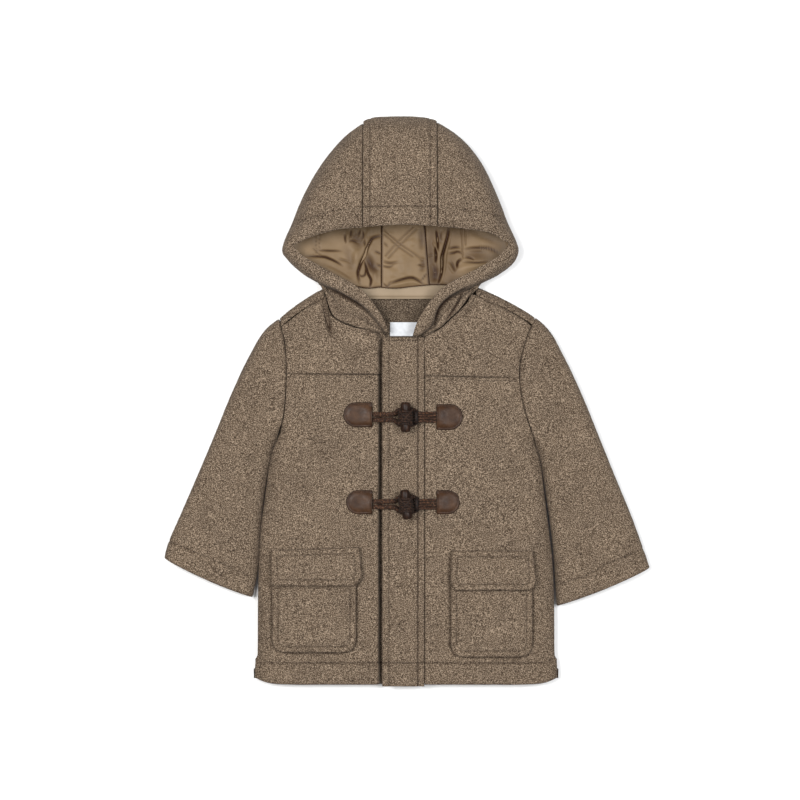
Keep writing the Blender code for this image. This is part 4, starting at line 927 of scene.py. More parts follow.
CREASES_LINING_CENTER = [
    ([(382.5, 260.7), (390, 262.6), (398, 261.6)], 1.2, 1.5, 0.5), ([(381, 265.2), (389.3, 266.5), (394, 263.4)], 0.9, 1.3, 0.55),
    ([(382.5, 282.6), (387.4, 286.2), (391, 281)], 0.9, 1.1, 0.55),
    ([(389, 283.4), (400, 279.6), (409.1, 277.3), (415.4, 278.3), (425, 285)], 1.1, 2.2, 0.9),
    ([(395, 285), (406, 282.3), (414, 281.6), (419.5, 284)], 2.0, -1.5, 0.0),
    ([(417.6, 264.2), (424.5, 265.2)], 1.0, 1.3, 0.6), ([(421, 281), (427.5, 272)], 0.9, 1.3, 0.55), ([(383.2, 241.6), (388, 246)], 0.9, 1.0, 0.4),
    ([(420.5, 227), (422, 238), (421.5, 250)], 2.8, 1.6, 0.45), ([(422.5, 256), (423.5, 264), (421, 272)], 2.8, 1.6, 0.5),
    ([(388, 231), (390, 241)], 3.0, -1.0, 0.0), ([(403, 254), (405, 266), (403, 275)], 5.0, -1.6, 0.0), ([(391, 268), (393.5, 278)], 4.0, -1.2, 0.0),
    ([(411, 238), (414, 246)], 3.4, -1.2, 0.0)]
CREASES_LINING_LEFT = [
    ([(436.3, 229), (437.9, 242.5), (438.2, 250)], 1.1, 2.4, 1.0), ([(434.8, 245.5), (436.1, 254.5), (435.6, 263)], 1.2, 2.6, 1.0),
    ([(432.4, 240), (435.4, 246.5), (438.8, 253)], 1.2, -1.3, 0.0), ([(426.7, 256.4), (430, 255), (434, 254)], 0.9, 1.1, 0.45),
    ([(448.9, 227), (447.7, 235.5), (445.6, 243.2), (443.5, 251), (442.1, 256.6), (442.1, 264.3), (441.4, 272.7), (439.3, 279.7), (437.6, 286)], 1.3, 3.0, 1.0),
    ([(451.4, 231), (448.4, 243), (445.6, 254), (444.6, 268), (441.6, 282)], 1.7, -1.6, 0.0),
    ([(433, 262), (435.4, 272), (434, 283)], 4.2, 2.2, 0.5), ([(431.4, 226), (431, 255), (432, 290)], 4.6, 0.6, 0.3), ([(463, 254), (478, 256), (492, 257)], 4.6, 0.8, 0.36), ([(443.4, 230), (441, 240)], 2.0, -1.0, 0.0), ([(440, 230), (440.6, 244)], 2.6, 1.4, 0.35),
    ([(448.6, 248.2), (454.7, 246.8), (461, 246.8)], 0.9, 1.3, 0.55), ([(448.4, 253.2), (454, 252.4), (458.2, 251.3), (463.4, 253.4)], 0.9, 1.5, 0.65),
    ([(449.5, 250.6), (456, 249.6), (462.5, 250)], 1.3, -1.0, 0.0),
    ([(463.6, 249.2), (473, 247.5), (486.3, 247.5), (493.3, 249.6), (499.5, 253.2)], 1.2, 1.7, 0.65), ([(467, 251.2), (478, 251.6), (489, 251.8)], 3.4, 1.3, 0.38),
    ([(465, 256.4), (470.2, 257.3), (475.5, 260)], 1.0, 1.5, 0.65), ([(463.6, 261.4), (477.2, 262.2), (491, 261.2)], 0.9, 1.6, 0.65),
    ([(465, 259.2), (477, 260.2)], 1.0, -0.9, 0.0), ([(457, 268), (458.2, 261.5), (462.6, 258)], 1.2, 1.8, 0.65),
    ([(455, 270), (468, 267), (486, 263.6)], 3.5, -1.6, 0.0), ([(448, 262), (451, 268), (454, 273)], 1.6, -1.1, 0.0),
    ([(451, 261), (454, 267), (456, 272)], 1.3, 1.1, 0.3), ([(472, 231), (482, 236), (496, 241.4)], 2.8, 1.0, 0.25)]


def creased(creases, x, y):
    move, dark = np.zeros(np.shape(x)), np.zeros(np.shape(x))
    for row in creases:
        m, k = valley(x, y, *row)
        move, dark = move + m, np.maximum(dark, k)
    return move, dark


def painted_line_shade(d, much=0.55, width=0.8):
    # Painted shade along a sewn line, seam or edge, falling off with distance.
    return much * np.exp(-(d / width) ** 2)


FOLD_LINES = [smooth_line(points_of(t), 4) for t in (SIDE_LEFT, SIDE_RIGHT, SHOULDER_LEFT, SHOULDER_RIGHT, ARMHOLE_LEFT, ARMHOLE_RIGHT)]


def fold_distance(x, y):
    x, y = np.asarray(x, float), np.asarray(y, float)
    return np.min([line_distance(line, x, y)[0] for line in FOLD_LINES[:2]], axis=0)


def sag(x, y):
    """The front lies a little lower towards the folds and armholes."""
    x, y = np.asarray(x, float), np.asarray(y, float)
    d = np.min([line_distance(line, x, y)[0] for line in FOLD_LINES], axis=0)
    t = np.clip(d / 42.0, 0, 1)
    return -2.3 * (1 - t * t * (3 - 2 * t))


POCKET_SEATS = [
    [(-135.4, -150.0), (-135.4, -237.0), (-131.0, -247.4), (-121.0, -251.6), (-65.0, -251.6), (-55.0, -247.4), (-50.4, -237.0), (-50.4, -150.0)],
    [(43.2, -152.0), (43.2, -241.0), (47.6, -251.6), (57.6, -255.9), (111.6, -255.9), (121.6, -251.6), (126.0, -241.0), (126.0, -152.0)]]


def pocket_seat(x, y):
    """The front is drawn in a little along the pockets' sewn edges, with painted shade along them."""
    d = np.min([line_distance(line, x, y)[0] for line in POCKET_SEATS], axis=0)
    return -1.0 * np.exp(-(d / 1.7) ** 2), painted_line_shade(d, 0.55, 1.4)


def front_detail(creases, side):
    def detail(x, y, z, nz, border, av, au):
        up = facing_up(nz) * np.clip(border / 10, 0, 1)
        move, dark = creased(creases, x, y)
        seat, seat_painted_shade = pocket_seat(x, y)
        move = move * up
        # the turned hem is a little thicker, with a sewn line along it
        move = move + 0.5 * (1 / (1 + np.exp((y - HEM_STITCH_Y) / 1.2))) * facing_up(nz) * np.clip(border / 3, 0, 1)
        move = move + sag(x, y) * np.clip(nz, 0, 1) ** 2 + seat
        hem = np.abs(y - HEM_STITCH_Y)
        # Painted shade: in the creases, along the pockets' edges and the hem's sewn line, and near the side folds.
        painted_fold_shade = 0.24 * np.exp(-(fold_distance(x, y) / 8.0) ** 2) * facing_up(nz)
        return move - 0.95 * np.exp(-(hem / 1.1) ** 2) * facing_up(nz), np.maximum.reduce([dark * up, seat_painted_shade, painted_line_shade(hem, 0.6) * facing_up(nz), painted_fold_shade])
    return detail


def yoke_detail(creases, drags):
    def detail(x, y, z, nz, border, av, au):
        move, dark = creased(creases, x, y)
        deep, drag_painted_shade = creased(drags, x, y)
        near = facing_up(nz) * np.clip(border / 1.2, 0, 1)
        up = facing_up(nz) * np.clip(border / 5, 0, 1)
        # Painted shade in the creases and in the deep drag folds.
        return move * up + deep * near + sag(x, y) * np.clip(nz, 0, 1) ** 2, np.maximum(dark * up, drag_painted_shade * facing_up(nz))
    return detail


def back_detail(x, y, z, nz, border, av, au):
    low = np.clip(-nz * 4, 0, 1) * np.clip(border / 12, 0, 1)
    # the wraps over the shoulders follow the front
    over = sag(x, y) * np.clip(nz, 0, 1) ** 2 * (z > 12)
    move, dark = creased(CREASES_BACK, x, y)
    hem = np.abs(y - HEM_STITCH_Y)
    sewn = np.clip(np.abs(nz) * 3, 0, 1)
    # Painted shade in the creases and along the hem's sewn line.
    return move * low * 0.5 + over - 0.5 * np.exp(-(hem / 1.2) ** 2) * sewn, np.maximum(dark * low, painted_line_shade(hem, 0.5) * sewn)


PLACKET_STITCHES = (-18.0, 10.8)


def placket_detail(x, y, z, nz, border, av, au):
    move, dark = creased([([(392, 350), (402, 362), (414, 366)], 6, 0.7), ([(394, 440), (404, 456), (400, 474)], 8, 0.7),
                          ([(412, 534), (402, 560), (404, 590)], 9, 0.6), ([(392, 610), (402, 630), (412, 640)], 7, 0.6)], x, y)
    # Sewn lines pressed in, with painted shade along them.
    for d, depth, much in ((np.abs(x - PLACKET_STITCHES[0]), 0.75, 0.35), (np.abs(x - PLACKET_STITCHES[1]), 1.15, 0.8),
                           (np.abs(y - HEM_STITCH_Y), 0.9, 0.55), (np.abs(y - 61.0), 0.6, 0.4)):
        move = move - depth * np.exp(-(d / 0.9) ** 2)
        dark = np.maximum(dark, painted_line_shade(d, much, 0.75))
    move = move + 0.35 * np.exp(-((x + 21.5) / 2.6) ** 2)
    return move * facing_up(nz), dark * facing_up(nz)


CUFF_RIGHT = at((166.2, 540.5), (187.6, 549), (225, 565), (252.8, 578.8))
CUFF_LEFT = at((558, 585), (585, 576), (612, 562), (646, 549))


def sleeve_detail(creases, cuff):
    def detail(x, y, z, nz, border, av, au):
        move, dark = creased(creases, x, y)
        up = facing_up(nz) * np.clip(border / 8, 0, 1)
        d, _ = line_distance(cuff, x, y)
        # Painted shade beside the body's side folds, along the cuff line and in the creases.
        beside = 0.42 * np.exp(-(fold_distance(x, y) / 5.0) ** 2)
        return move * up - 0.7 * np.exp(-(d / 1.2) ** 2), np.maximum.reduce([dark * up, painted_line_shade(d, 0.45), beside])
    return detail


def hood_edge(table):
    return smooth_line(table, 6)


def hood_detail(creases, table):
    front = hood_edge(table)

    def detail(x, y, z, nz, border, av, au):
        move, dark = creased(creases, x, y)
        up = facing_up(nz) * np.clip(border / 3, 0, 1)
        d, t = line_distance(front, x, y)
        brim = facing_up(nz) * (z > 13) * np.clip((0.55 - t) * 12, 0, 1)
        move = move * up + brim * (0.6 * np.exp(-((d - 10) / 8.0) ** 2) - 0.9 * np.exp(-((d - 19) / 1.3) ** 2))
        # Painted shade in the creases and along the brim's sewn line.
        return move, np.maximum(dark * up, brim * painted_line_shade(d - 19, 0.55))
    return detail


def hood_center_detail(x, y, z, nz, border, av, au):
    top = facing_up(nz)
    brim = 0.6 * np.exp(-((y - 184) / 8.0) ** 2) - 0.9 * np.exp(-((y - 193.5) / 1.1) ** 2)
    sides = -0.55 * np.exp(-((x + 37.0) / 0.9) ** 2) - 0.55 * np.exp(-((x - 23.0) / 0.9) ** 2)
    soft, dark = creased([([(385, 134), (392, 164), (388, 196)], 9, 0.7), ([(412, 150), (420, 176), (414, 198)], 9, -0.6)], x, y)
    # Painted shade along the brim's sewn line and the seams to the sides.
    lines = np.maximum.reduce([painted_line_shade(y - 193.5, 0.5) * top, painted_line_shade(x + 37.0, 0.5), painted_line_shade(x - 23.0, 0.5)])
    return (brim + soft) * top + sides * np.where(z > 14, 1.0, 0.6), np.maximum(dark * top, lines)


def lining_detail(creases, quilt, shade=0.0):
    lines = [smooth_line(at(*q), 5) for q in quilt]

    def detail(x, y, z, nz, border, av, au):
        # nz is the hidden face's: it points down where the floor shows
        floor = np.clip(-nz * 3, 0, 1) * np.clip(border / 3, 0.2, 1)
        move, dark = creased(creases, x, y)
        # Painted shade in the creases, made half again stronger.
        dark = 1.5 * dark
        d = np.min([line_distance(line, x, y)[0] for line in lines], axis=0)
        p = np.stack([x.ravel() / 16.0, y.ravel() / 9.0, z.ravel() / 16], 1)
        soft = hash_noise(p, 21).reshape(x.shape) + 0.35 * hash_noise(p * 2.7, 22).reshape(x.shape)
        move = (1.1 * move + 0.9 - 1.2 * np.exp(-(d / 0.9) ** 2)) * floor + 0.45 * soft * np.clip(border / 4, 0.1, 1)
        broad = hash_noise(np.stack([x.ravel() / 15.0, y.ravel() / 19.0, np.zeros(x.size)], 1), 33).reshape(x.shape)
        # Broad, patchy painted shade over the floor, as much as shade says.
        dark = dark + shade * (0.62 + 0.75 * np.clip(broad, -1, 1))
        # Painted shade along the quilted lines and the lining's borders, only on the face that shows.
        dark = np.maximum.reduce([dark, 1.5 * painted_line_shade(d, 0.34, 0.7), painted_line_shade(border, 1.0, 1.15)])
        return move, np.clip(dark, 0, 1) * np.clip(-nz * 3, 0, 1)
    return detail


DRAGS_YOKE_RIGHT = [
    ([(322.6, 284), (324.6, 300), (325.6, 308), (327.0, 317), (331, 336)], 2.3, 4.0, 1.6), ([(330, 322), (333, 331), (338, 342)], 2.6, 1.2, 0.3),
    ([(322, 300.6), (314, 302.6), (306, 306.4)], 1.0, 0.8, 0.6)]
DRAGS_YOKE_LEFT = [
    ([(478, 296), (473, 306), (463, 316)], 2.4, 1.8, 0.5), ([(484, 299), (492, 303), (498, 306)], 1.0, 0.7, 0.5)]
DETAILS.update({
    "front_right": front_detail(CREASES_FRONT_RIGHT, -1),
    "front_left": front_detail(CREASES_FRONT_LEFT, 1),
    "yoke_right": yoke_detail(CREASES_YOKE_RIGHT, DRAGS_YOKE_RIGHT),
    "yoke_left": yoke_detail(CREASES_YOKE_LEFT, DRAGS_YOKE_LEFT),
    "back": back_detail,
    "placket": placket_detail,
    "sleeve_right": sleeve_detail(CREASES_SLEEVE_RIGHT, CUFF_RIGHT),
    "sleeve_left": sleeve_detail(CREASES_SLEEVE_LEFT, CUFF_LEFT),
    "hood_side_right": hood_detail(CREASES_HOOD_RIGHT, HOOD_RIGHT_EDGE),
    "hood_side_left": hood_detail(CREASES_HOOD_LEFT, HOOD_LEFT_EDGE),
    "hood_center": hood_center_detail,
    "hood_lining_right": lining_detail(CREASES_LINING_RIGHT, QUILT_RIGHT, 0.20),
    "hood_lining_center": lining_detail(CREASES_LINING_CENTER, QUILT_CENTER),
    "hood_lining_left": lining_detail(CREASES_LINING_LEFT, QUILT_LEFT, 0.34),
})
OPEN_ENDS["back"] = [("v1",), ("v0",), ("v0",)]
LINES.update({
    "front_right": ((HEM_STITCH_Y - HEM_Y,), ()),
    "front_left": ((HEM_STITCH_Y - HEM_Y,), ()),
    "back": ((HEM_STITCH_Y - HEM_Y,), ()),
    "placket": ((HEM_STITCH_Y + 285.0, 346.0), tuple(s - PLACKET_LEFT for s in PLACKET_STITCHES)),
    "hood_center": ((6.5, 66.5), (20.6,)),
})


def pillow(x, y, border, sewn=6.0, full=0.7):
    return full * np.clip((border - 1.5) / 5, 0, 1) + 0.5 - 0.95 * np.exp(-((border - sewn) / 1.0) ** 2)


def pocket_top(x0, x1, y1):
    def top(x, y, border):
        free = 1 / (1 + np.exp((y - y1) / 2.0))  # flat where the flap lies on it
        swell = 1.6 * np.sin(np.pi * np.clip((x - x0) / (x1 - x0), 0, 1)) ** 0.7
        return free * (pillow(x, y, border) + swell * np.clip((y1 - y) / 18, 0, 1) * np.clip(border / 12, 0, 1))
    return top


def flap_top(top_y, low_y):
    def top(x, y, border):
        bend = np.clip((top_y - y) / (top_y - low_y), 0, 1)
        return 0.5 * np.clip((border - 1.5) / 5, 0, 1) + 0.4 - 0.95 * np.exp(-((border - 6.0) / 1.0) ** 2) + 2.3 * bend ** 2
    return top


def flap_low(top_y, low_y):
    def low(x, y, border):
        return 2.2 * np.clip((top_y - y) / (top_y - low_y), 0, 1) ** 2
    return low


def lowered(shape):
    return lambda x, y, border: sag(x, y) + (shape(x, y, border) if shape else 0)


for name, x0, x1, y1 in (("pocket_right", -135.0, -50.8, -186.0), ("pocket_left", 43.6, 125.6, -190.0)):
    PLATE_SHAPE[name] = (lowered(pocket_top(x0, x1, y1)), lowered(None))
    PLATE_RINGS[name] = [4.6, 5.3, 6.0, 6.7, 7.5]
for name, top_y, low_y in (("pocket_flap_right", -148.6, -184.0), ("pocket_flap_left", -148.9, -188.4)):
    PLATE_SHAPE[name] = (lowered(flap_top(top_y, low_y)), lowered(flap_low(top_y, low_y)))
    PLATE_RINGS[name] = [4.6, 5.3, 6.0, 6.7, 7.5]


def band_lift(x, y, border=None):
    t = np.clip((106.4 - y) / 2.4, 0, 1)
    return 3.15 * t * t * (3 - 2 * t)


PLATE_SHAPE["neck_band"] = (band_lift, band_lift)
PLATE_STEP["satin"] = 1.2


GRADED.update({
    "hood_lining_right": (((0.86, 1.0), (0.14, 1.6)), ((0.62, 2.6), (0.38, 0.85))),
    "hood_lining_center": (((1.0, 1.0),), ((0.72, 2.6), (0.28, 0.85))),
    "hood_lining_left": (((0.86, 1.0), (0.14, 1.6)), ((0.62, 2.6), (0.38, 0.85))),
})


def patch_lift(straight_x, side, mid_y):
    """The hide rises over the cords that run in under its straight side."""
    def lift(x, y, border=None):
        inward = (x - straight_x) * side
        return 3.3 * np.clip(1 - inward / 13, 0, 1) ** 1.5 * np.clip(1 - (np.abs(y - mid_y) / 10.5) ** 2, 0, 1) ** 0.8
    return lift


for row in [("leather_upper_right", -34.6, -1, -15.6), ("leather_upper_left", 29.4, 1, -15.6),
            ("leather_lower_right", -34.6, -1, -102.6), ("leather_lower_left", 29.4, 1, -102.6)]:
    lift = patch_lift(*row[1:])
    PLATE_SHAPE[row[0]] = ((lambda x, y, b, lift=lift: lift(x, y) + 0.5 * np.clip((b - 2.6) / 3, 0, 1) - 0.3 * np.exp(-((b - 2.1) / 0.5) ** 2)),
                           (lambda x, y, b, lift=lift: lift(x, y)))
    PLATE_RINGS[row[0]] = [1.5, 1.9, 2.3, 2.8]

FOLD_TURNS = [0, 5, 22, 42, 64, 90]  # degrees round a fold at which points lie
FOLD_STEPS = [FOLD_REACH * (1 - math.cos(math.radians(a))) for a in FOLD_TURNS]


# ------------------------------------------------------------- lower fronts
def edge_line(armhole, side, top_y):
    """The body's edge from the hem up to top_y."""
    low = smooth_line(points_of(side), 6)[::-1]
    high = smooth_line(points_of(armhole), 6)[::-1]
    line = np.vstack([low, high[1:]])
    return line[line[:, 1] <= top_y + 1e-6]


def edge_x(line, y):
    return float(np.interp(y, line[:, 1], line[:, 0]))


EDGE_LEFT = edge_line(ARMHOLE_LEFT, SIDE_LEFT, 90)
EDGE_RIGHT = edge_line(ARMHOLE_RIGHT, SIDE_RIGHT, 90)

# Heights of the rows across the body, hem to underarm and up.
ROWS_Y = [HEM_Y, -279.0, -274.0, -268.0, -262.0, -259.0, -256.0, -253.0, -248.0, -240.0, -228.0, -215.0, -200.0, -180.0, -160.0,
          -140.0, -120.0, -106.0, -90.0, -75.0, -62.0, -50.0, -42.0, -36.0, -30.0, -24.0, -18.0, -9.0, 2.0]


def hem_lift(x, edge, y):
    """How far the rounded hem corner lifts a point."""
    inward = min(abs(x - edge), HEM_CORNER)
    return HEM_LIFT * (1 - inward / HEM_CORNER) ** 2 * ease((-253.0 - y) / 30.0)


def lower_front(name, edge, side, inner_xs, seam_y, dip):
    rows = []
    for y in ROWS_Y + [None]:
        row = []
        base = seam_y(edge_x(edge, YOKE_Y_LEFT)) if y is None else y
        e = edge_x(edge, base + (0.0 if y is None else HEM_LIFT * ease((-253.0 - base) / 30.0)))
        xs = [e - side * s for s in FOLD_STEPS]
        # the flat columns are shared out between the fold and the first inner line
        flat = np.linspace(xs[-1], inner_xs[0], 5)[1:-1]
        for x in xs + list(flat) + list(inner_xs):
            yy = (seam_y(x) - SEAM / 2) if y is None else y + hem_lift(x, e, y)
            row.append((x, yy, front_z(x, yy, dip)))
        rows.append(row)
    return rows


def yoke_seam_left(x):
    return YOKE_Y_LEFT + 1.0 * (x + 75) / 45 * -0.4


def yoke_seam_right(x):
    return YOKE_Y_RIGHT - 2.2 * ((x - 17) / 96) + 0.8


rows = lower_front("front_right", EDGE_LEFT, -1.0, [-33.5, -31.0, -29.4, -28.6, -27.6, -26.7, -12.0, UNDERLAP_END], yoke_seam_left, UNDERLAP_DROP)
sheet("front_right", [rows], "wool", WOOL)
rows = lower_front("front_left", EDGE_RIGHT, 1.0, [42.0, PLACKET_RIGHT + SEAM], yoke_seam_right, 0.0)
sheet("front_left", [[row[::-1] for row in rows]], "wool", WOOL)


# -------------------------------------------------------------------- yokes
def inner_edge(points, y0, y1):
    keep = points[(points[:, 1] >= min(y0, y1)) & (points[:, 1] <= max(y0, y1))]
    return keep


def shoulder_seam(table, armhole_edge, side):
    """The line on the front where the back's wrap over the shoulder ends."""
    fold = smooth_line(points_of(table), 6)
    reach = FOLD_REACH * (1 - math.cos(math.radians(SHOULDER_TURN)))
    out = []
    for i in range(0, len(fold), 3):
        a, b = fold[max(i - 1, 0)], fold[min(i + 1, len(fold) - 1)]
        d = (b - a) / np.linalg.norm(b - a)
        n = np.array((d[1], -d[0])) if side > 0 else np.array((-d[1], d[0]))
        out.append(fold[i] + n * (reach + 4.5 * SEAM))
    return np.array(out)


def yoke(name, side, edge, shoulder, neck, seam_y, centre_x, dip):
    seam_line = shoulder_seam(shoulder, edge, side)  # neck to tip
    arm = smooth_line(points_of(ARMHOLE_LEFT if side < 0 else ARMHOLE_RIGHT), 6)
    tip_y = seam_line[-1, 1] - 1.6
    arm = arm[(arm[:, 1] < tip_y - 0.5)]
    neckline = smooth_line(points_of(neck), 4)
    neckline = neckline[neckline[:, 1] < seam_line[0, 1] - 0.5]
    tip = np.array((edge_x(edge, tip_y), tip_y))
    neck_end = np.array((neckline[0, 0], seam_line[0, 1]))
    foot_out_y = seam_y(edge_x(edge, YOKE_Y_LEFT)) + SEAM / 2
    foot_out = np.array((edge_x(edge, foot_out_y), foot_out_y))
    foot_in = np.array((centre_x, seam_y(centre_x) + SEAM / 2))
    outer = np.vstack([[foot_out], arm[arm[:, 1] > foot_out_y + 1][::-1], [tip]])
    inner = np.vstack([[foot_in], neckline[::-1], [neck_end]])
    top = np.vstack([[tip], seam_line[::-1][1:-1], [neck_end]])
    top[-1, 1] -= 0.5
    bottom = np.linspace(foot_out, foot_in, 12)
    bottom[1:-1, 1] = [seam_y(x) + SEAM / 2 for x in bottom[1:-1, 0]]
    us = [0, 0.1, 0.25, 0.42, 0.6, 0.75, 0.87, 0.907, 0.916, 0.926, 0.935, 0.965, 1.0] if side < 0 else np.linspace(0, 1, 9)
    vs = [0, 0.18, 0.36, 0.54, 0.7, 0.82, 0.92, 1.0]
    plan = coons(bottom, top, outer, inner, us, vs)
    rows = [[(x, y, front_z(x, y, dip)) for x, y in row] for row in plan]
    if side > 0:
        rows = [row[::-1] for row in rows]
    return sheet(name, [rows], "wool", WOOL)


yoke("yoke_right", -1, EDGE_LEFT, SHOULDER_LEFT, NECK_LEFT, yoke_seam_left, -20.0, UNDERLAP_DROP)
yoke("yoke_left", 1, EDGE_RIGHT, SHOULDER_RIGHT, NECK_RIGHT, yoke_seam_right, PLACKET_RIGHT + SEAM, 0.0)


# --------------------------------------------------------------------- back
def back_panel():
    left_tip, right_tip = -128.0, 128.5
    neck_l, neck_r = BACK_NECK[1][0][0], BACK_NECK[1][-1][0]
    fold_l = smooth_line(points_of(SHOULDER_LEFT), 6)
    fold_r = smooth_line(points_of(SHOULDER_RIGHT), 6)
    dip_line = smooth_line(points_of(BACK_NECK), 6)
    shares_l, shares_r = [0.0, 0.34, 0.68, 1.0], [0.0, 0.34, 0.68, 1.0]
    top_l = along(fold_l, shares_l)[::-1]  # tip to neck
    top_r = along(fold_r, shares_r)  # neck to tip
    mid_x = [-66.0, -44.0, -20.0, 5.0, 28.0, 50.0]
    slope_l, slope_r = 0.822, 0.88  # each shoulder's run for each unit of its edge
    base = []  # the top line of the flat part
    for x, y in top_l:
        base.append((x, y - FOLD_REACH / slope_l))
    for x in mid_x:
        base.append((x, float(np.interp(x, dip_line[:, 0], dip_line[:, 1])) - SEAM / 2))
    for x, y in top_r:
        base.append((x, y - FOLD_REACH / slope_r))
    base = np.array(base)
    base[0, 0] = edge_x(EDGE_LEFT, base[0, 1])
    base[-1, 0] = edge_x(EDGE_RIGHT, base[-1, 1])
    n = len(base)
    share = (base[:, 0] - base[0, 0]) / (base[-1, 0] - base[0, 0])
    ys = ROWS_Y + [21.0, 40.0, 56.0]
    rows = []
    for y in ys:
        lift = HEM_LIFT * ease((-253.0 - y) / 30.0)
        l, r = edge_x(EDGE_LEFT, y + lift), edge_x(EDGE_RIGHT, y + lift)
        xs = [l + s for s in FOLD_STEPS[:-1]]
        flat = l + FOLD_REACH + (r - l - 2 * FOLD_REACH) * (share[1:-1] - share[1]) / (share[-2] - share[1])
        xs += list(flat) + [r - s for s in FOLD_STEPS[:-1]][::-1]
        rows.append([(x, y + hem_lift(x, l if x < 0 else r, y), back_z(x, y)) for x in xs])
    # the last flat row: the fold columns share the tip's short stretch
    last = []
    k = len(FOLD_STEPS) - 1
    full = [base[0] + (base[1] - base[0]) * s / FOLD_REACH for s in FOLD_STEPS[:-1]]
    full += list(base[1:-1])
    full += [base[-1] + (base[-2] - base[-1]) * s / FOLD_REACH for s in FOLD_STEPS[:-1]][::-1]
    for x, y in full:
        last.append((x, y, back_z(x, y)))
    rows.append(last)
    grids = [rows]
    # the wraps over the shoulder folds
    turns = [90, 64, 40, 16, -10, -35, -SHOULDER_TURN]
    for side, slope, columns, fold in ((-1, slope_l, range(0, k + 3), fold_l), (1, slope_r, range(len(last) - k - 3, len(last)), fold_r)):
        wrap = []
        for a in turns:
            row = []
            for c in columns:
                x0, y0, z0 = last[c]
                y_fold = float(np.interp(x0, *(fold[::-1].T if fold[0, 0] > fold[-1, 0] else fold.T)))
                if a == 90:
                    row.append((x0, y0, z0))
                    continue
                inward = FOLD_REACH * (1 - math.cos(math.radians(a)))
                y = y_fold - inward / slope
                e = edge_x(EDGE_LEFT if side < 0 else EDGE_RIGHT, min(y, 83.0 if side < 0 else 84.0))
                tip = last[0 if side < 0 else -1][0]
                neck = last[k + 2 if side < 0 else len(last) - k - 3][0]
                w = (x0 - neck) / (tip - neck)
                # the neck end stays clear of the hood's side
                x = x0 + (e - tip) * w + side * (-0.5 if side < 0 else -1.2) * (1 - w) * min(1.0, (90 - a) / 40)
                y_fold = float(np.interp(x, *(fold[::-1].T if fold[0, 0] > fold[-1, 0] else fold.T)))
                y = y_fold - inward / slope
                s = math.sin(math.radians(a))
                top = body_height(y) - SIDE_MID
                z = SIDE_MID - SIDE_MID * s if s > 0 else SIDE_MID - top * s
                row.append((x, y, z))
            wrap.append(row)
        grids.append(wrap)
    return sheet("back", grids, "wool", WOOL, flip=True)


back_panel()

# ------------------------------------------------------------------ placket
PLACKET_ROWS = [PLACKET_TOP, 40.0, 10.0, -40.0, -100.0, -160.0, -220.0, -255.0, -285.0]
rows = []
for y in PLACKET_ROWS[::-1]:
    row = []
    for x in (PLACKET_LEFT, PLACKET_LEFT + 1.2, -10.0, 4.0, PLACKET_RIGHT):
        edge = 0.5 if x == PLACKET_LEFT else 0.0
        row.append((x, y, PLACKET_HEIGHT - edge - (1 - ease((y + 284) / 24)) * 1.0))
    rows.append(row)
sheet("placket", [rows], "wool", PLACKET_WALL)

# ------------------------------------------------------------------ sleeves
# A row per section: outer edge, inner edge, half height, how far the section bows towards the cuff.
SLEEVE_LEFT = ("outer_x", "outer_y", "inner_x", "inner_y", "height", "bow"), [
    (-128.9, 83.0, -128.9, -30.0, 20.0, 0.0),
    (-142.0, 72.0, -132.2, -38.0, 20.0, 0.0),
    (-158.0, 46.0, -136.0, -48.0, 20.0, 1.0),
    (-176.0, 8.0, -139.5, -64.0, 20.0, 2.0),
    (-194.0, -36.0, -143.5, -86.0, 19.5, 3.0),
    (-211.0, -76.0, -147.0, -112.0, 19.0, 3.0),
    (-227.0, -113.0, -149.6, -140.0, 18.0, 3.0),
    (-240.0, -143.0, -151.2, -168.0, 17.0, 3.0),
    (-243.6, -157.5, -156.5, -196.5, 16.0, 2.5)]
SLEEVE_RIGHT = ("outer_x", "outer_y", "inner_x", "inner_y", "height", "bow"), [
    (129.4, 84.0, 129.9, -40.0, 20.0, 0.0),
    (142.0, 72.0, 131.0, -46.0, 20.0, 0.0),
    (157.0, 46.0, 134.0, -54.0, 20.0, 1.0),
    (175.0, 8.0, 137.5, -70.0, 20.0, 2.0),
    (193.0, -36.0, 141.2, -94.0, 19.5, 3.0),
    (210.0, -78.0, 145.5, -124.0, 19.0, 3.0),
    (226.0, -117.0, 148.6, -152.0, 18.0, 3.0),
    (239.0, -153.0, 150.6, -182.0, 17.0, 3.0),
    (243.8, -167.0, 152.0, -205.0, 16.0, 2.5)]


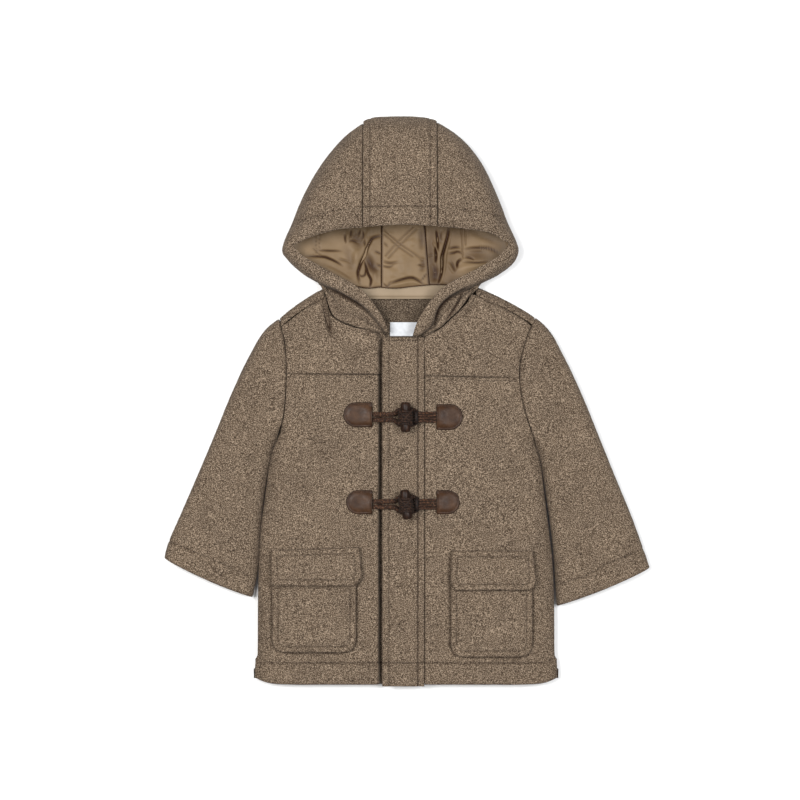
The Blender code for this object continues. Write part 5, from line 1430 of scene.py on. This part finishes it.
def sleeve(name, table, armhole, side):
    rows = []
    arm = smooth_line(points_of(armhole), 6)
    top_turns = [0, 22, 45, 68]
    for j, (ox, oy, ix, iy, height, bow) in enumerate(table[1]):
        outer, inner = np.array((ox, oy)), np.array((ix - side * (1.9 if j else 0.0), iy))
        width = np.linalg.norm(inner - outer)
        reach = min(FOLD_SOFT - 1.0, width / 3)
        steps = [reach * (1 - math.cos(math.radians(a))) / width for a in top_turns]
        mid = np.linspace(reach / width, 1 - reach / width, 5)
        shares = steps + list(mid) + [1 - s for s in steps][::-1]
        down = np.array((inner - outer)[::-1]) * (1, -1)
        down = down / np.linalg.norm(down)
        if down[1] > 0:
            down = -down
        half = height / 2
        ring = []
        for part in (1, -1):
            for s in (shares if part > 0 else shares[::-1][1:-1]):
                if j == 0:
                    p = along(arm, [s])[0] + np.array((side * (SLEEVE_GAP + 0.35 * ease(1 - s / 0.2)), 0.0))
                else:
                    p = outer + (inner - outer) * s + down * bow * 4 * s * (1 - s)
                    if j < 3:  # the first sections still follow the armhole's curve
                        chord = arm[0] + (arm[-1] - arm[0]) * s
                        p = p + (along(arm, [s])[0] - chord) * (0.55, 0.18)[j - 1]
                r = rise(min(s, 1 - s) * width, reach)
                ring.append((p[0], p[1], half + part * half * r))
        ring.append(ring[0])
        rows.append(ring)
    return sheet(name, [rows], "wool", WOOL, flip=side < 0)


sleeve("sleeve_right", SLEEVE_LEFT, ARMHOLE_LEFT, -1)
sleeve("sleeve_left", SLEEVE_RIGHT, ARMHOLE_RIGHT, 1)

# --------------------------------------------------------------------- hood
# A row per section, from the strip seam at the brim round the corner and down the lip:
# front edge, outermost fold (or the crease over the neck), neck seam.
HOOD_RIGHT = ("fx", "fy", "fz", "ox", "oy", "oz", "rx", "ry", "rz"), [
    (-44.5, 172.5, 46.0, -44.4, 278.5, 15.0, -44.2, 103.4, 0.0),
    (-65.0, 171.0, 44.0, -62.0, 265.5, 15.0, -55.0, 102.8, 0.0),
    (-82.0, 167.5, 40.0, -83.0, 241.5, 14.5, -64.0, 101.6, 0.0),
    (-98.0, 162.5, 35.0, -101.0, 211.5, 14.0, -72.0, 100.4, 0.0),
    (-107.5, 158.0, 31.0, -114.0, 181.5, 14.0, -79.6, 100.6, 1.2),
    (-111.0, 153.0, 28.0, -124.8, 149.0, 14.0, -82.0, 105.8, 4.4),
    (-106.0, 147.5, 27.0, -120.4, 142.8, 13.5, -82.0, 110.8, 7.0),
    (-92.0, 138.5, 26.5, -105.0, 128.4, 13.0, -82.0, 114.2, 11.5),
    (-74.0, 128.5, 26.5, -89.0, 118.8, 16.5, -82.2, 112.8, 16.6),
    (-57.0, 119.5, 27.0, -70.0, 109.0, 20.5, -79.4, 99.0, 19.3),
    (-44.0, 111.0, 27.5, -55.0, 101.0, 21.5, -73.0, 84.8, 20.2),
    (-32.0, 96.5, 27.5, -42.0, 91.5, 22.0, -55.6, 76.2, 20.4),
    (-23.0, 81.5, 26.5, -31.0, 80.5, 22.0, -38.0, 71.4, 20.2),
    (-18.4, 69.2, 21.5, -22.0, 69.0, 19.5, -25.0, 68.6, 15.0)]
HOOD_LEFT = ("fx", "fy", "fz", "ox", "oy", "oz", "rx", "ry", "rz"), [
    (30.5, 173.5, 46.0, 30.4, 279.5, 15.0, 30.2, 103.2, 0.0),
    (48.0, 172.0, 44.5, 52.0, 265.5, 15.0, 41.0, 102.8, 0.0),
    (67.0, 170.0, 41.0, 73.0, 241.5, 14.5, 50.0, 102.2, 0.0),
    (83.0, 167.0, 36.0, 89.0, 209.5, 14.0, 58.0, 101.6, 0.0),
    (94.0, 161.5, 31.0, 100.0, 181.5, 14.0, 66.4, 102.4, 1.2),
    (100.0, 155.0, 28.0, 111.6, 149.5, 14.0, 68.8, 107.6, 4.4),
    (95.0, 148.5, 27.0, 108.2, 141.0, 13.5, 68.8, 112.4, 7.0),
    (79.0, 138.0, 26.5, 92.4, 127.4, 13.0, 68.8, 115.8, 11.5),
    (59.0, 127.5, 26.5, 75.0, 118.5, 16.5, 68.2, 114.2, 16.6),
    (42.0, 118.5, 27.0, 56.0, 109.5, 20.5, 62.2, 105.0, 19.3),
    (30.0, 109.0, 27.5, 39.5, 101.0, 21.5, 52.4, 91.8, 20.2),
    (20.0, 96.0, 27.5, 31.0, 90.5, 22.0, 42.4, 82.2, 20.4),
    (11.0, 81.5, 26.5, 26.0, 78.5, 23.0, 32.4, 73.3, 20.4),
    (5.4, 65.2, 24.6, 14.0, 66.6, 23.3, 18.0, 67.8, 20.8)]
# The centre strip: x, brim edge, crown fold; a row per line along it.
HOOD_STRIP = ("x", "brim_y", "brim_z", "crown_y"), [
    (-43.9, 172.7, 46.5, 281.0), (-36.0, 173.3, 47.3, 284.0), (-20.0, 174.4, 48.8, 285.4),
    (-6.0, 175.0, 49.2, 285.7), (8.0, 174.8, 48.8, 285.4), (22.0, 174.0, 47.6, 283.8), (29.9, 173.7, 46.5, 281.4)]
TUCKS = {4: 3.0, 5: 8.5, 6: 5.5, 7: 3.0}
WRAP_ROWS = 8  # the first rows wrap under the hood; the others lie on the neck
TOP_TURNS = [0, 18, 38, 60, 90]
CROWN_BULGE = 4.0


def top_shares(length, reach):
    """From the front edge (0) to the outermost fold (1), closer near the fold."""
    start = 1 - reach / length
    flat = [0.0, start * 0.22, start * 0.6]
    turn = [1 - reach / length * (1 - math.cos(math.radians(a))) for a in TOP_TURNS[::-1]]
    return flat + turn


def hood_row(f, o, r, wraps, inset=0.0, low=0.0):
    """One section from the front edge over the fold to the neck seam."""
    f, o, r = np.array(f, float), np.array(o, float), np.array(r, float)
    length = np.linalg.norm((f - o)[:2])
    reach = min(20.0, 0.8 * length) if wraps else min(6.0, 0.7 * length)
    row = []
    crown = min(30.0, 2.0 * o[2]) if wraps else f[2]
    for a in top_shares(length, reach):
        p = f + (o - f) * a
        line = f[2] + (crown - f[2]) * a ** 1.6 + CROWN_BULGE * min(1.0, length / 60) * 4 * a * (1 - a)
        d = length * (1 - a)
        row.append((p[0], p[1], o[2] + (line - o[2]) * rise(d, reach)))
    under = np.linalg.norm((r - o)[:2])
    if wraps:
        reach_b = min(o[2] + 1.0, 0.7 * under)
        turns = [reach_b * (1 - math.cos(math.radians(a))) / under for a in (25, 50, 75)]
        for a in turns + [0.55, 0.78, 1.0]:
            p = o + (r - o) * a
            # between its ends the part under the hood is drawn in
            p[:2] += inset * 4 * a * (1 - a) * np.array((0.6 if o[0] < 0 else -0.6, 0.8))
            z = o[2] * (1 - rise(under * a, reach_b)) + r[2] * a ** 1.1
            row.append((p[0], p[1], z))
    else:
        for a, drop in ((0.08, -2.5), (0.2, -3.6), (0.34, -2.2), (0.55, 0.6), (0.78, 1.2), (1.0, 0.0)):
            p = o + (r - o) * a
            row.append((p[0], p[1], o[2] + (r[2] - o[2]) * a + drop))
    return row


def hood_side(name, table, flip):
    rows = []
    for i, q in enumerate(table[1]):
        rows.append(hood_row(q[0:3], q[3:6], q[6:9], i < WRAP_ROWS, TUCKS.get(i, 0.0)))
    return sheet(name, [rows], "wool", WOOL, flip=flip)


hood_side("hood_side_right", HOOD_RIGHT, False)
hood_side("hood_side_left", HOOD_LEFT, True)
rows = []
for x, brim_y, brim_z, crown_y in HOOD_STRIP[1]:
    neck_y = float(np.interp(x, *smooth_line(points_of(BACK_NECK), 6).T)) + SEAM
    rows.append(hood_row((x, brim_y, brim_z), (x, crown_y, 15.0), (x, neck_y, 0.0), True))
sheet("hood_center", [rows], "wool", WOOL, flip=True)

# ------------------------------------------------------------- hood lining
# A row per section: front edge under the brim or lip, outermost fold, neck band seam.
LINING_RIGHT = ("fx", "fy", "fz", "ox", "oy", "oz", "rx", "ry", "rz"), [
    (-25.0, 176.0, 43.6, -25.0, 277.5, 14.5, -25.9, 114.5, 7.4),
    (-44.0, 174.6, 42.2, -42.0, 272.0, 14.5, -30.0, 114.2, 7.4),
    (-64.0, 173.2, 40.0, -59.5, 258.5, 14.0, -36.0, 113.4, 7.4),
    (-81.0, 169.8, 36.0, -79.0, 236.0, 14.0, -42.0, 113.6, 7.6),
    (-97.0, 165.0, 31.0, -96.0, 207.0, 13.5, -48.0, 114.6, 8.0),
    (-107.8, 160.0, 26.5, -109.0, 180.0, 13.5, -55.0, 115.0, 8.5),
    (-113.5, 152.6, 23.0, -119.0, 150.0, 14.0, -62.0, 116.0, 11.0),
    (-108.5, 146.0, 22.4, -115.0, 142.6, 14.0, -68.0, 118.0, 14.0),
    (-94.6, 137.0, 22.0, -101.0, 133.0, 14.5, -72.0, 121.0, 17.0)]
LINING_LEFT = ("fx", "fy", "fz", "ox", "oy", "oz", "rx", "ry", "rz"), [
    (19.6, 176.6, 43.6, 9.8, 277.5, 14.5, 22.9, 116.9, 7.4),
    (34.0, 175.6, 42.2, 34.0, 272.0, 14.5, 27.0, 117.0, 7.4),
    (50.0, 174.2, 40.0, 52.0, 257.5, 14.0, 32.0, 117.0, 7.4),
    (67.0, 172.4, 37.0, 69.0, 236.0, 14.0, 36.0, 117.0, 7.6),
    (82.0, 169.6, 32.0, 84.0, 205.0, 13.5, 40.0, 116.6, 8.0),
    (94.4, 163.8, 26.5, 95.0, 180.0, 13.5, 43.0, 115.0, 8.5),
    (102.2, 154.6, 23.0, 106.4, 150.0, 14.0, 49.0, 116.0, 11.0),
    (97.4, 147.0, 22.4, 103.0, 142.0, 14.0, 55.0, 118.0, 14.0),
    (81.4, 136.4, 22.0, 88.0, 132.0, 14.5, 59.0, 121.0, 17.0)]
LINING_STRIP = [(-24.75, -24.75, -24.75, -25.65, 114.3), (-10.0, -10.0, -10.0, -10.2, 113.4), (4.0, 4.0, 0.0, 4.2, 115.0), (20.75, 19.3, 9.4, 22.6, 116.8)]


def lining_row(f, o, r, k):
    f, o, r = np.array(f, float), np.array(o, float), np.array(r, float)
    length = np.linalg.norm((f - o)[:2])
    reach = min(16.0, 0.8 * length)
    row = []
    crown = min(23.0, 1.7 * o[2])
    for a in top_shares(length, reach)[::1]:
        p = f + (o - f) * a
        line = f[2] + (crown - f[2]) * a ** 1.25
        d = length * (1 - a)
        row.append((p[0], p[1], o[2] + (max(line, o[2] + 4.0) - o[2]) * rise(d, reach)))
    under = np.linalg.norm((r - o)[:2])
    reach_b = min(9.0, 0.5 * under)
    lift = 1.0 + 9.0 * ease((k - 3.0) / 5.0)  # the floor swells towards the lips
    floor = 4.0
    for a in (0.02, 0.06, 0.13, 0.3, 0.5, 0.7, 0.86, 1.0):
        p = o + (r - o) * a
        base = floor + lift * (1 - a) ** 1.3 + (r[2] - floor) * a ** 2
        z = o[2] + (base - o[2]) * rise(under * a, reach_b)
        row.append((p[0], p[1], max(z, floor)))
    return row


for name, table, flip in (("hood_lining_right", LINING_RIGHT, False), ("hood_lining_left", LINING_LEFT, True)):
    rows = [lining_row(q[0:3], q[3:6], q[6:9], i) for i, q in enumerate(table[1])]
    sheet(name, [rows], "satin", LINING, flip=flip)
rows = []
for x, front_x, fold_x, neck_x, neck_y in LINING_STRIP:
    rows.append(lining_row((front_x, 176.4, 44.4), (fold_x, 277.8, 14.5), (neck_x, neck_y, 7.4), 0))
sheet("hood_lining_center", [rows], "satin", LINING, flip=True)



# ----------------------------------------------------- pockets, flaps, trim
REST_Z = BODY_HEIGHT + SEAM
POCKET_WALL = 2.6
plate("pocket_right", rounded([(-135.0, -180.0), (-135.0, -251.0), (-50.8, -251.0), (-50.8, -180.0)], [0, 14, 14, 0], 8), REST_Z, POCKET_WALL, "wool")
plate("pocket_left", rounded([(43.6, -183.0), (43.6, -255.4), (125.6, -255.4), (125.6, -183.0)], [0, 14, 14, 0], 8), REST_Z, POCKET_WALL, "wool")
FLAP_Z = REST_Z + POCKET_WALL + SEAM
plate("pocket_flap_right", rounded([(-136.0, -148.6), (-135.6, -184.0), (-51.0, -184.0), (-44.8, -174.0), (-47.6, -145.4)], [1, 3, 5, 3, 1], 4), FLAP_Z, POCKET_WALL, "wool")
plate("pocket_flap_left", rounded([(44.7, -148.9), (43.4, -178.0), (47.0, -188.4), (125.0, -188.4), (129.0, -180.0), (126.2, -148.9)], [1, 3, 5, 5, 3, 1], 4), FLAP_Z, POCKET_WALL, "wool")
PATCHES = [
    ("leather_upper_right", -34.6, -63.6, -25.6, -0.8), ("leather_upper_left", 29.4, 55.6, -28.4, -2.6),
    ("leather_lower_right", -34.6, -60.8, -112.6, -88.6), ("leather_lower_left", 29.4, 52.6, -112.6, -88.6)]


def tongue(straight_x, round_x, y0, y1, inset=0.0, per=24):
    """An outline with a straight side, and a half circle at its other end."""
    side = 1 if round_x > straight_x else -1
    r, mid = (y1 - y0) / 2 - inset, (y0 + y1) / 2
    centre, start = round_x - side * (y1 - y0) / 2, straight_x + side * inset
    out = [(start, mid - r + 1.0), (start + side * 1.0, mid - r)]
    for k in range(per + 1):
        a = math.pi * (k / per - 0.5)
        out.append((centre + side * r * math.cos(a), mid + r * math.sin(a)))
    return out + [(start + side * 1.0, mid + r), (start, mid + r - 1.0)]


for name, *sizes in PATCHES:
    plate(name, tongue(*sizes), REST_Z, LEATHER, "leather")

INNER_Z = WOOL + SEAM
plate("neck_band", [(-56.0, 102.9), (44.0, 102.9), (46.0, 113.9), (44.0, 119.0), (-56.0, 119.0), (-58.0, 113.9)], INNER_Z + 0.1, LINING, "satin")
plate("back_neck_facing", [(-60.0, 103.4), (-50.0, 76.0), (-34.0, 58.0), (-10.0, 52.0), (10.0, 52.0), (26.0, 58.0), (40.0, 76.0), (48.0, 103.4)], INNER_Z, WOOL, "wool")
plate("label", [(-17.0, 65.6), (7.0, 65.6), (9.6, 69.0), (13.0, 79.6), (-17.0, 79.6)], 6.6, 0.8, "label")


# ------------------------------------------------------------ toggles, cords
def frames_along(p):
    t = np.gradient(p, axis=0)
    t /= np.maximum(np.linalg.norm(t, axis=1, keepdims=True), 1e-9)
    n = np.zeros_like(p)
    first = np.cross(t[0], (0, 0, 1.0)) if abs(t[0, 2]) < 0.9 else np.cross(t[0], (0, 1.0, 0))
    n[0] = first / np.linalg.norm(first)
    for i in range(1, len(p)):
        v = n[i - 1] - t[i] * (n[i - 1] @ t[i])
        n[i] = v / np.linalg.norm(v)
    return t, n, np.cross(t, n)


def resample(p, step):
    p = np.asarray(p, float)
    run = np.concatenate([[0.0], np.cumsum(np.linalg.norm(np.diff(p, axis=0), axis=1))])
    at_run = np.linspace(0, run[-1], max(4, int(run[-1] / step) + 1))
    return through(p, run, at_run), at_run


def ropes(strands, sides=8):
    """One mesh from round strands, each (points, radius)."""
    verts, faces, base = [], [], 0
    for p, radius in strands:
        _, n, b = frames_along(p)
        a = 2 * np.pi * np.arange(sides) / sides
        r = np.broadcast_to(np.asarray(radius, float), (len(p),)).copy()
        r[0] *= 0.6
        r[-1] *= 0.6
        ring = p[:, None] + r[:, None, None] * (np.cos(a)[None, :, None] * n[:, None] + np.sin(a)[None, :, None] * b[:, None])
        verts.append(ring.reshape(-1, 3))
        for i in range(len(p) - 1):
            for q in range(sides):
                q2 = (q + 1) % sides
                faces.append((base + i * sides + q, base + i * sides + q2, base + (i + 1) * sides + q2, base + (i + 1) * sides + q))
        faces.append(tuple(base + q for q in range(sides))[::-1])
        faces.append(tuple(base + (len(p) - 1) * sides + q for q in range(sides)))
        base += len(p) * sides
    return np.vstack(verts), faces


def solid_from(name, verts, faces, kind, node, dark=None):
    mesh = bpy.data.meshes.new(name)
    mesh.from_pydata((np.asarray(verts) * MM).tolist(), [], faces)
    bm = bmesh.new()
    bm.from_mesh(mesh)
    bmesh.ops.recalc_face_normals(bm, faces=bm.faces)
    bm.to_mesh(mesh)
    bm.free()
    mesh.shade_smooth()
    if dark is not None:
        set_painted_shade_and_tone(mesh, dark)
    return finish_piece(bpy.data.objects.new(name, mesh), kind, node)


def twisted(path, plies, ply_radius, helix, pitch, step=0.9):
    p, run = resample(smooth_line(path, 6), step)
    _, n, b = frames_along(p)
    out = []
    for k in range(plies):
        a = (2 * np.pi * (run / pitch + k / plies))[:, None]
        out.append((p + helix * (np.cos(a) * n + np.sin(a) * b), ply_radius))
    return out


def toggle(name, x, y, z, length, tilt):
    half = length / 2
    profile = [(0.0, half), (2.0, half), (3.4, half - 0.25), (4.2, half - 0.9), (4.6, half - 2.0), (4.95, half * 0.72), (4.95, half * 0.5), (4.5, 4.6), (4.0, 0.0),
               (4.5, -4.6), (4.95, -half * 0.5), (4.95, -half * 0.72), (4.6, 2.0 - half), (4.2, 0.9 - half), (3.4, 0.25 - half), (2.0, -half), (0.0, -half)]
    line = smooth_line(profile, 3)
    sides = 32
    ang = 2 * np.pi * np.arange(sides) / sides
    verts, faces = [], []
    c, s = math.cos(math.radians(tilt)), math.sin(math.radians(tilt))
    seed = 7 if name.endswith("upper") else 19
    for i, (r, h) in enumerate(line):
        r = max(r, 0.02)
        for a in ang:
            q = hash_noise(np.array([[math.cos(a) * 1.3, math.sin(a) * 1.3, h / 6.0]]), seed)[0]
            rr = r * (1 + 0.045 * q) - 0.10 * (math.cos(a * 9 + q) > 0.86) * (r > 3.4)
            lx, ly, lz = rr * math.cos(a), h, rr * math.sin(a)
            verts.append((x + lx * c - ly * s, y + lx * s + ly * c, z + lz))
    m = len(line)
    for i in range(m - 1):
        for q in range(sides):
            q2 = (q + 1) % sides
            faces.append((i * sides + q, i * sides + q2, (i + 1) * sides + q2, (i + 1) * sides + q))
    faces.append(tuple(range(sides))[::-1])
    faces.append(tuple((m - 1) * sides + q for q in range(sides)))
    solid_from(f"{name}_horn", verts, faces, "horn", name)


def fastening(name, x, y, z, length, tilt):
    toggle(f"toggle_{name}", x, y, z + 1.3, length, tilt)
    ply, helix = 1.28, 1.34
    full = ply + helix
    low = PLACKET_HEIGHT + 0.12 + full
    rest = BODY_HEIGHT + 0.25 + full
    reach = 2.75
    loop = [(-33.6, y + 2.6, rest - 0.9), (-31.4, y + reach, rest), (-28.6, y + reach, rest + 0.1), (-24.0, y + reach, low + 0.1),
            (-18.0, y + reach, low), (x - 11.0, y + 3.2, low), (x - 6.8, y + 6.6, low), (x, y + 8.4, low), (x + 8.0, y + 6.8, low),
            (x + 11.6, y + 3.4, low + 0.1), (x + 12.8, y, low + 0.2)]
    loop = loop + [(px, 2 * y - py, pz) for px, py, pz in loop[::-1][1:]]
    verts, faces = ropes(twisted(loop, 3, ply, helix, 8.0), 8)
    # The braid is drawn darker towards the toggle: painted shade where it runs under the toggle.
    solid_from(f"cord_loop_{name}_braid", verts, faces, "cord", f"cord_loop_{name}", 0.75 * np.exp(-((verts[:, 0] - x) / 11.0) ** 2))
    # the attaching cord: four strands from the hide, then turns round the toggle's middle
    strands = []
    for k, o in enumerate((4.3, 1.45, -1.45, -4.3)):
        path = [(33.4, y + o * 0.92, 21.75), (29.4, y + o, 21.8), (25.0, y + o, 22.2 + 0.15 * (k % 2)), (20.0, y + o * 0.98, 25.0), (14.5, y + o * 0.96, 28.3),
                (x + 10.4, y + o * 0.95, 29.6), (x + 7.4, y + o * 1.0, 30.6)]
        p, _ = resample(smooth_line(path, 5), 1.2)
        strands.append((p, 1.3))
    a = np.linspace(0, 4 * np.pi, 60)  # two turns bind the strands beside the toggle
    strands.append((np.stack([x + 10.0 + 1.0 * (a / (2 * np.pi)), y + 6.4 * np.cos(a), 29.1 + 2.9 * np.sin(a)], 1), 1.1))
    turns = 6
    z = z + 1.1
    a = np.linspace(-0.4, 2 * np.pi * turns - 0.4, turns * 22)
    s = np.linspace(-1, 1, len(a))
    ring = 5.8 + 0.8 * (1 - s ** 2)
    c, sn = math.cos(math.radians(tilt)), math.sin(math.radians(tilt))
    ly = 7.3 * s
    px, pz = ring * np.cos(a), ring * np.sin(a) + 0.5
    strands.append((np.stack([x + px * c - ly * sn, y + px * sn + ly * c, z + pz], 1), 1.2))
    for way in (1, -1):  # two strands cross over the front of the turns
        t = np.linspace(-1, 1, 20)
        ang = math.pi / 2 + way * t * 1.05
        rr = 7.9 + 0.3 * way * (1 - t ** 2)
        lx, lz = rr * np.cos(ang), rr * np.sin(ang)
        ly = 7.2 * t
        strands.append((np.stack([x + lx * c - ly * sn, y + lx * sn + ly * c, z + lz], 1), 1.05))
    verts, faces = ropes(strands, 8)
    # The strands are darker round the toggle's middle and at the binding turns: the wrap's own darker cord, and painted
    # shade under the toggle.
    near = np.abs(verts[:, 0] - x)
    ring_dark = 0.95 * (np.abs(verts[:, 0] - (x + 11.0)) < 2.4)
    solid_from(f"cord_attach_{name}_strands", verts, faces, "cord", f"cord_attach_{name}", np.maximum(0.62 * (near < 9.0), ring_dark))


for row in [("upper", -1.5, -15.6, 31.2, 30.0, 0.0), ("lower", -1.0, -102.6, 31.2, 29.5, 6.0)]:
    fastening(*row)


# ------------------------------------------------------------- sewn threads
TORSO = ["front_right", "front_left", "yoke_right", "yoke_left", "placket"]
# turned hem, placket, yoke and pocket lines
stitch(["front_right"], [(-148.0, -257.6), (-140.0, -260.4), (-124.0, HEM_STITCH_Y), (-80.0, HEM_STITCH_Y), (-27.0, HEM_STITCH_Y)])
stitch(["front_left"], [(19.5, HEM_STITCH_Y), (60.0, HEM_STITCH_Y), (122.0, HEM_STITCH_Y), (138.0, -260.4), (146.0, -257.6)])
stitch(["placket"], [(-24.0, HEM_STITCH_Y), (16.3, HEM_STITCH_Y)])
stitch(["placket"], [(PLACKET_STITCHES[0], -283.0), (PLACKET_STITCHES[0], 62.0)])
stitch(["placket"], [(PLACKET_STITCHES[1], -283.0), (PLACKET_STITCHES[1], 62.0)])
stitch(["placket"], [(-17.0, 61.0), (9.8, 61.0)])
for name, y_of, x0, x1 in (("front_right", yoke_seam_left, -118.0, -30.0), ("front_left", yoke_seam_right, 20.0, 111.0)):
    stitch([name], [(x, y_of(x) - 3.4) for x in np.linspace(x0, x1, 5)], smooth=False)
for name, line in (
        ("pocket_right", [(-129.0, -186.5), (-129.0, -237.0), (-125.0, -243.4), (-118.0, -245.0), (-68.0, -245.0), (-61.0, -243.4), (-56.8, -237.0), (-56.8, -186.5)]),
        ("pocket_left", [(49.6, -191.0), (49.6, -241.4), (53.8, -247.8), (60.6, -249.4), (108.6, -249.4), (115.6, -247.8), (119.6, -241.4), (119.6, -191.0)]),
        ("pocket_flap_right", [(-130.0, -150.4), (-129.6, -178.0), (-54.2, -178.0), (-50.9, -172.8), (-53.2, -148.0)]),
        ("pocket_flap_left", [(50.8, -150.4), (49.5, -177.2), (51.2, -182.4), (120.9, -182.4), (122.9, -178.6), (120.5, -150.4)]),
        ("pocket_flap_right", [(-130.0, -154.9), (-54.0, -151.9)]), ("pocket_flap_left", [(51.0, -155.2), (120.4, -155.2)])):
    stitch([name], np.array(line), smooth=False)
stitch(["hood_center"], [(-37.0, 279.0), (-37.0, 240.0), (-37.0, 176.0)], high=80)
stitch(["hood_center"], [(23.0, 278.0), (23.0, 240.0), (23.0, 177.0)], high=80)
stitch(["hood_center"], [(-43.0, 193.0), (-7.0, 193.6), (29.0, 193.0)])
for name, table in (("hood_side_right", HOOD_RIGHT_EDGE), ("hood_side_left", HOOD_LEFT_EDGE)):
    front = hood_edge(table)[:34]
    tangent = np.gradient(front, axis=0)
    tangent /= np.linalg.norm(tangent, axis=1, keepdims=True)
    out = np.stack([tangent[:, 1], -tangent[:, 0]], 1)
    if (out[0] @ np.array((0, 1.0))) < 0:
        out = -out
    stitch([name], (front + out * 19.0)[::3], high=80)
stitch(["sleeve_right"], CUFF_RIGHT)
stitch(["sleeve_left"], CUFF_LEFT)
for name, *sizes in PATCHES:
    stitch([name], np.array(tongue(*sizes, inset=2.1)), "leather_thread", 1.7, 0.9, 0.02, smooth=False)

for kind, pairs in STITCHES.items():
    radius, hump = (0.30, 0.22) if kind == "thread" else (0.24, 0.16)
    obj = bpy.data.objects.new("stitches_" + kind, capsule_mesh("stitches_" + kind, pairs, radius, hump))
    finish_piece(obj, kind, None)

# ----------------------------------------------------- floor, light, camera
floor_mesh = bpy.data.meshes.new("floor")
floor_mesh.from_pydata([(-4, -4, 0), (4, -4, 0), (4, 4, 0), (-4, 4, 0)], [], [(0, 1, 2, 3)])
floor = bpy.data.objects.new("floor", floor_mesh)
floor.location.z = -0.0006
bpy.context.scene.collection.objects.link(floor)
n = Nodes("white_paper")
n.shader.inputs["Base Color"].default_value = (0.96, 0.96, 0.96, 1)
n.shader.inputs["Roughness"].default_value = 1.0
floor.data.materials.append(n.mat)

world = bpy.data.worlds.new("soft_white")
bpy.context.scene.world = world
world.use_nodes = True
world.node_tree.nodes["Background"].inputs["Color"].default_value = (1, 1, 1, 1)
world.node_tree.nodes["Background"].inputs["Strength"].default_value = 0.29


def area_light(name, place, target, size, energy, colour=(1, 1, 1)):
    data = bpy.data.lights.new(name, "AREA")
    data.shape = "RECTANGLE"
    data.size, data.size_y = size
    data.energy = energy
    data.color = colour
    obj = bpy.data.objects.new(name, data)
    obj.location = place
    obj.rotation_euler = (Vector(target) - Vector(place)).to_track_quat("-Z", "Y").to_euler()
    bpy.context.scene.collection.objects.link(obj)


area_light("key", (-0.95, 0.3, 2.2), (0, 0, 0), (1.0, 1.0), 56.0, (1.0, 0.99, 0.975))
area_light("fill", (0.95, 0.1, 2.2), (0, 0, 0), (1.0, 1.0), 41.0, (0.98, 0.99, 1.0))

camera_data = bpy.data.cameras.new("camera")
camera_data.lens = 135.0
camera_data.sensor_width = 36.0
camera_data.dof.use_dof = False
camera = bpy.data.objects.new("camera", camera_data)
camera.location = (-0.007, 0.0015, 3.02)
bpy.context.scene.collection.objects.link(camera)
bpy.context.scene.camera = camera
bpy.context.scene.view_settings.view_transform = "Standard"
bpy.context.scene.view_settings.look = "None"
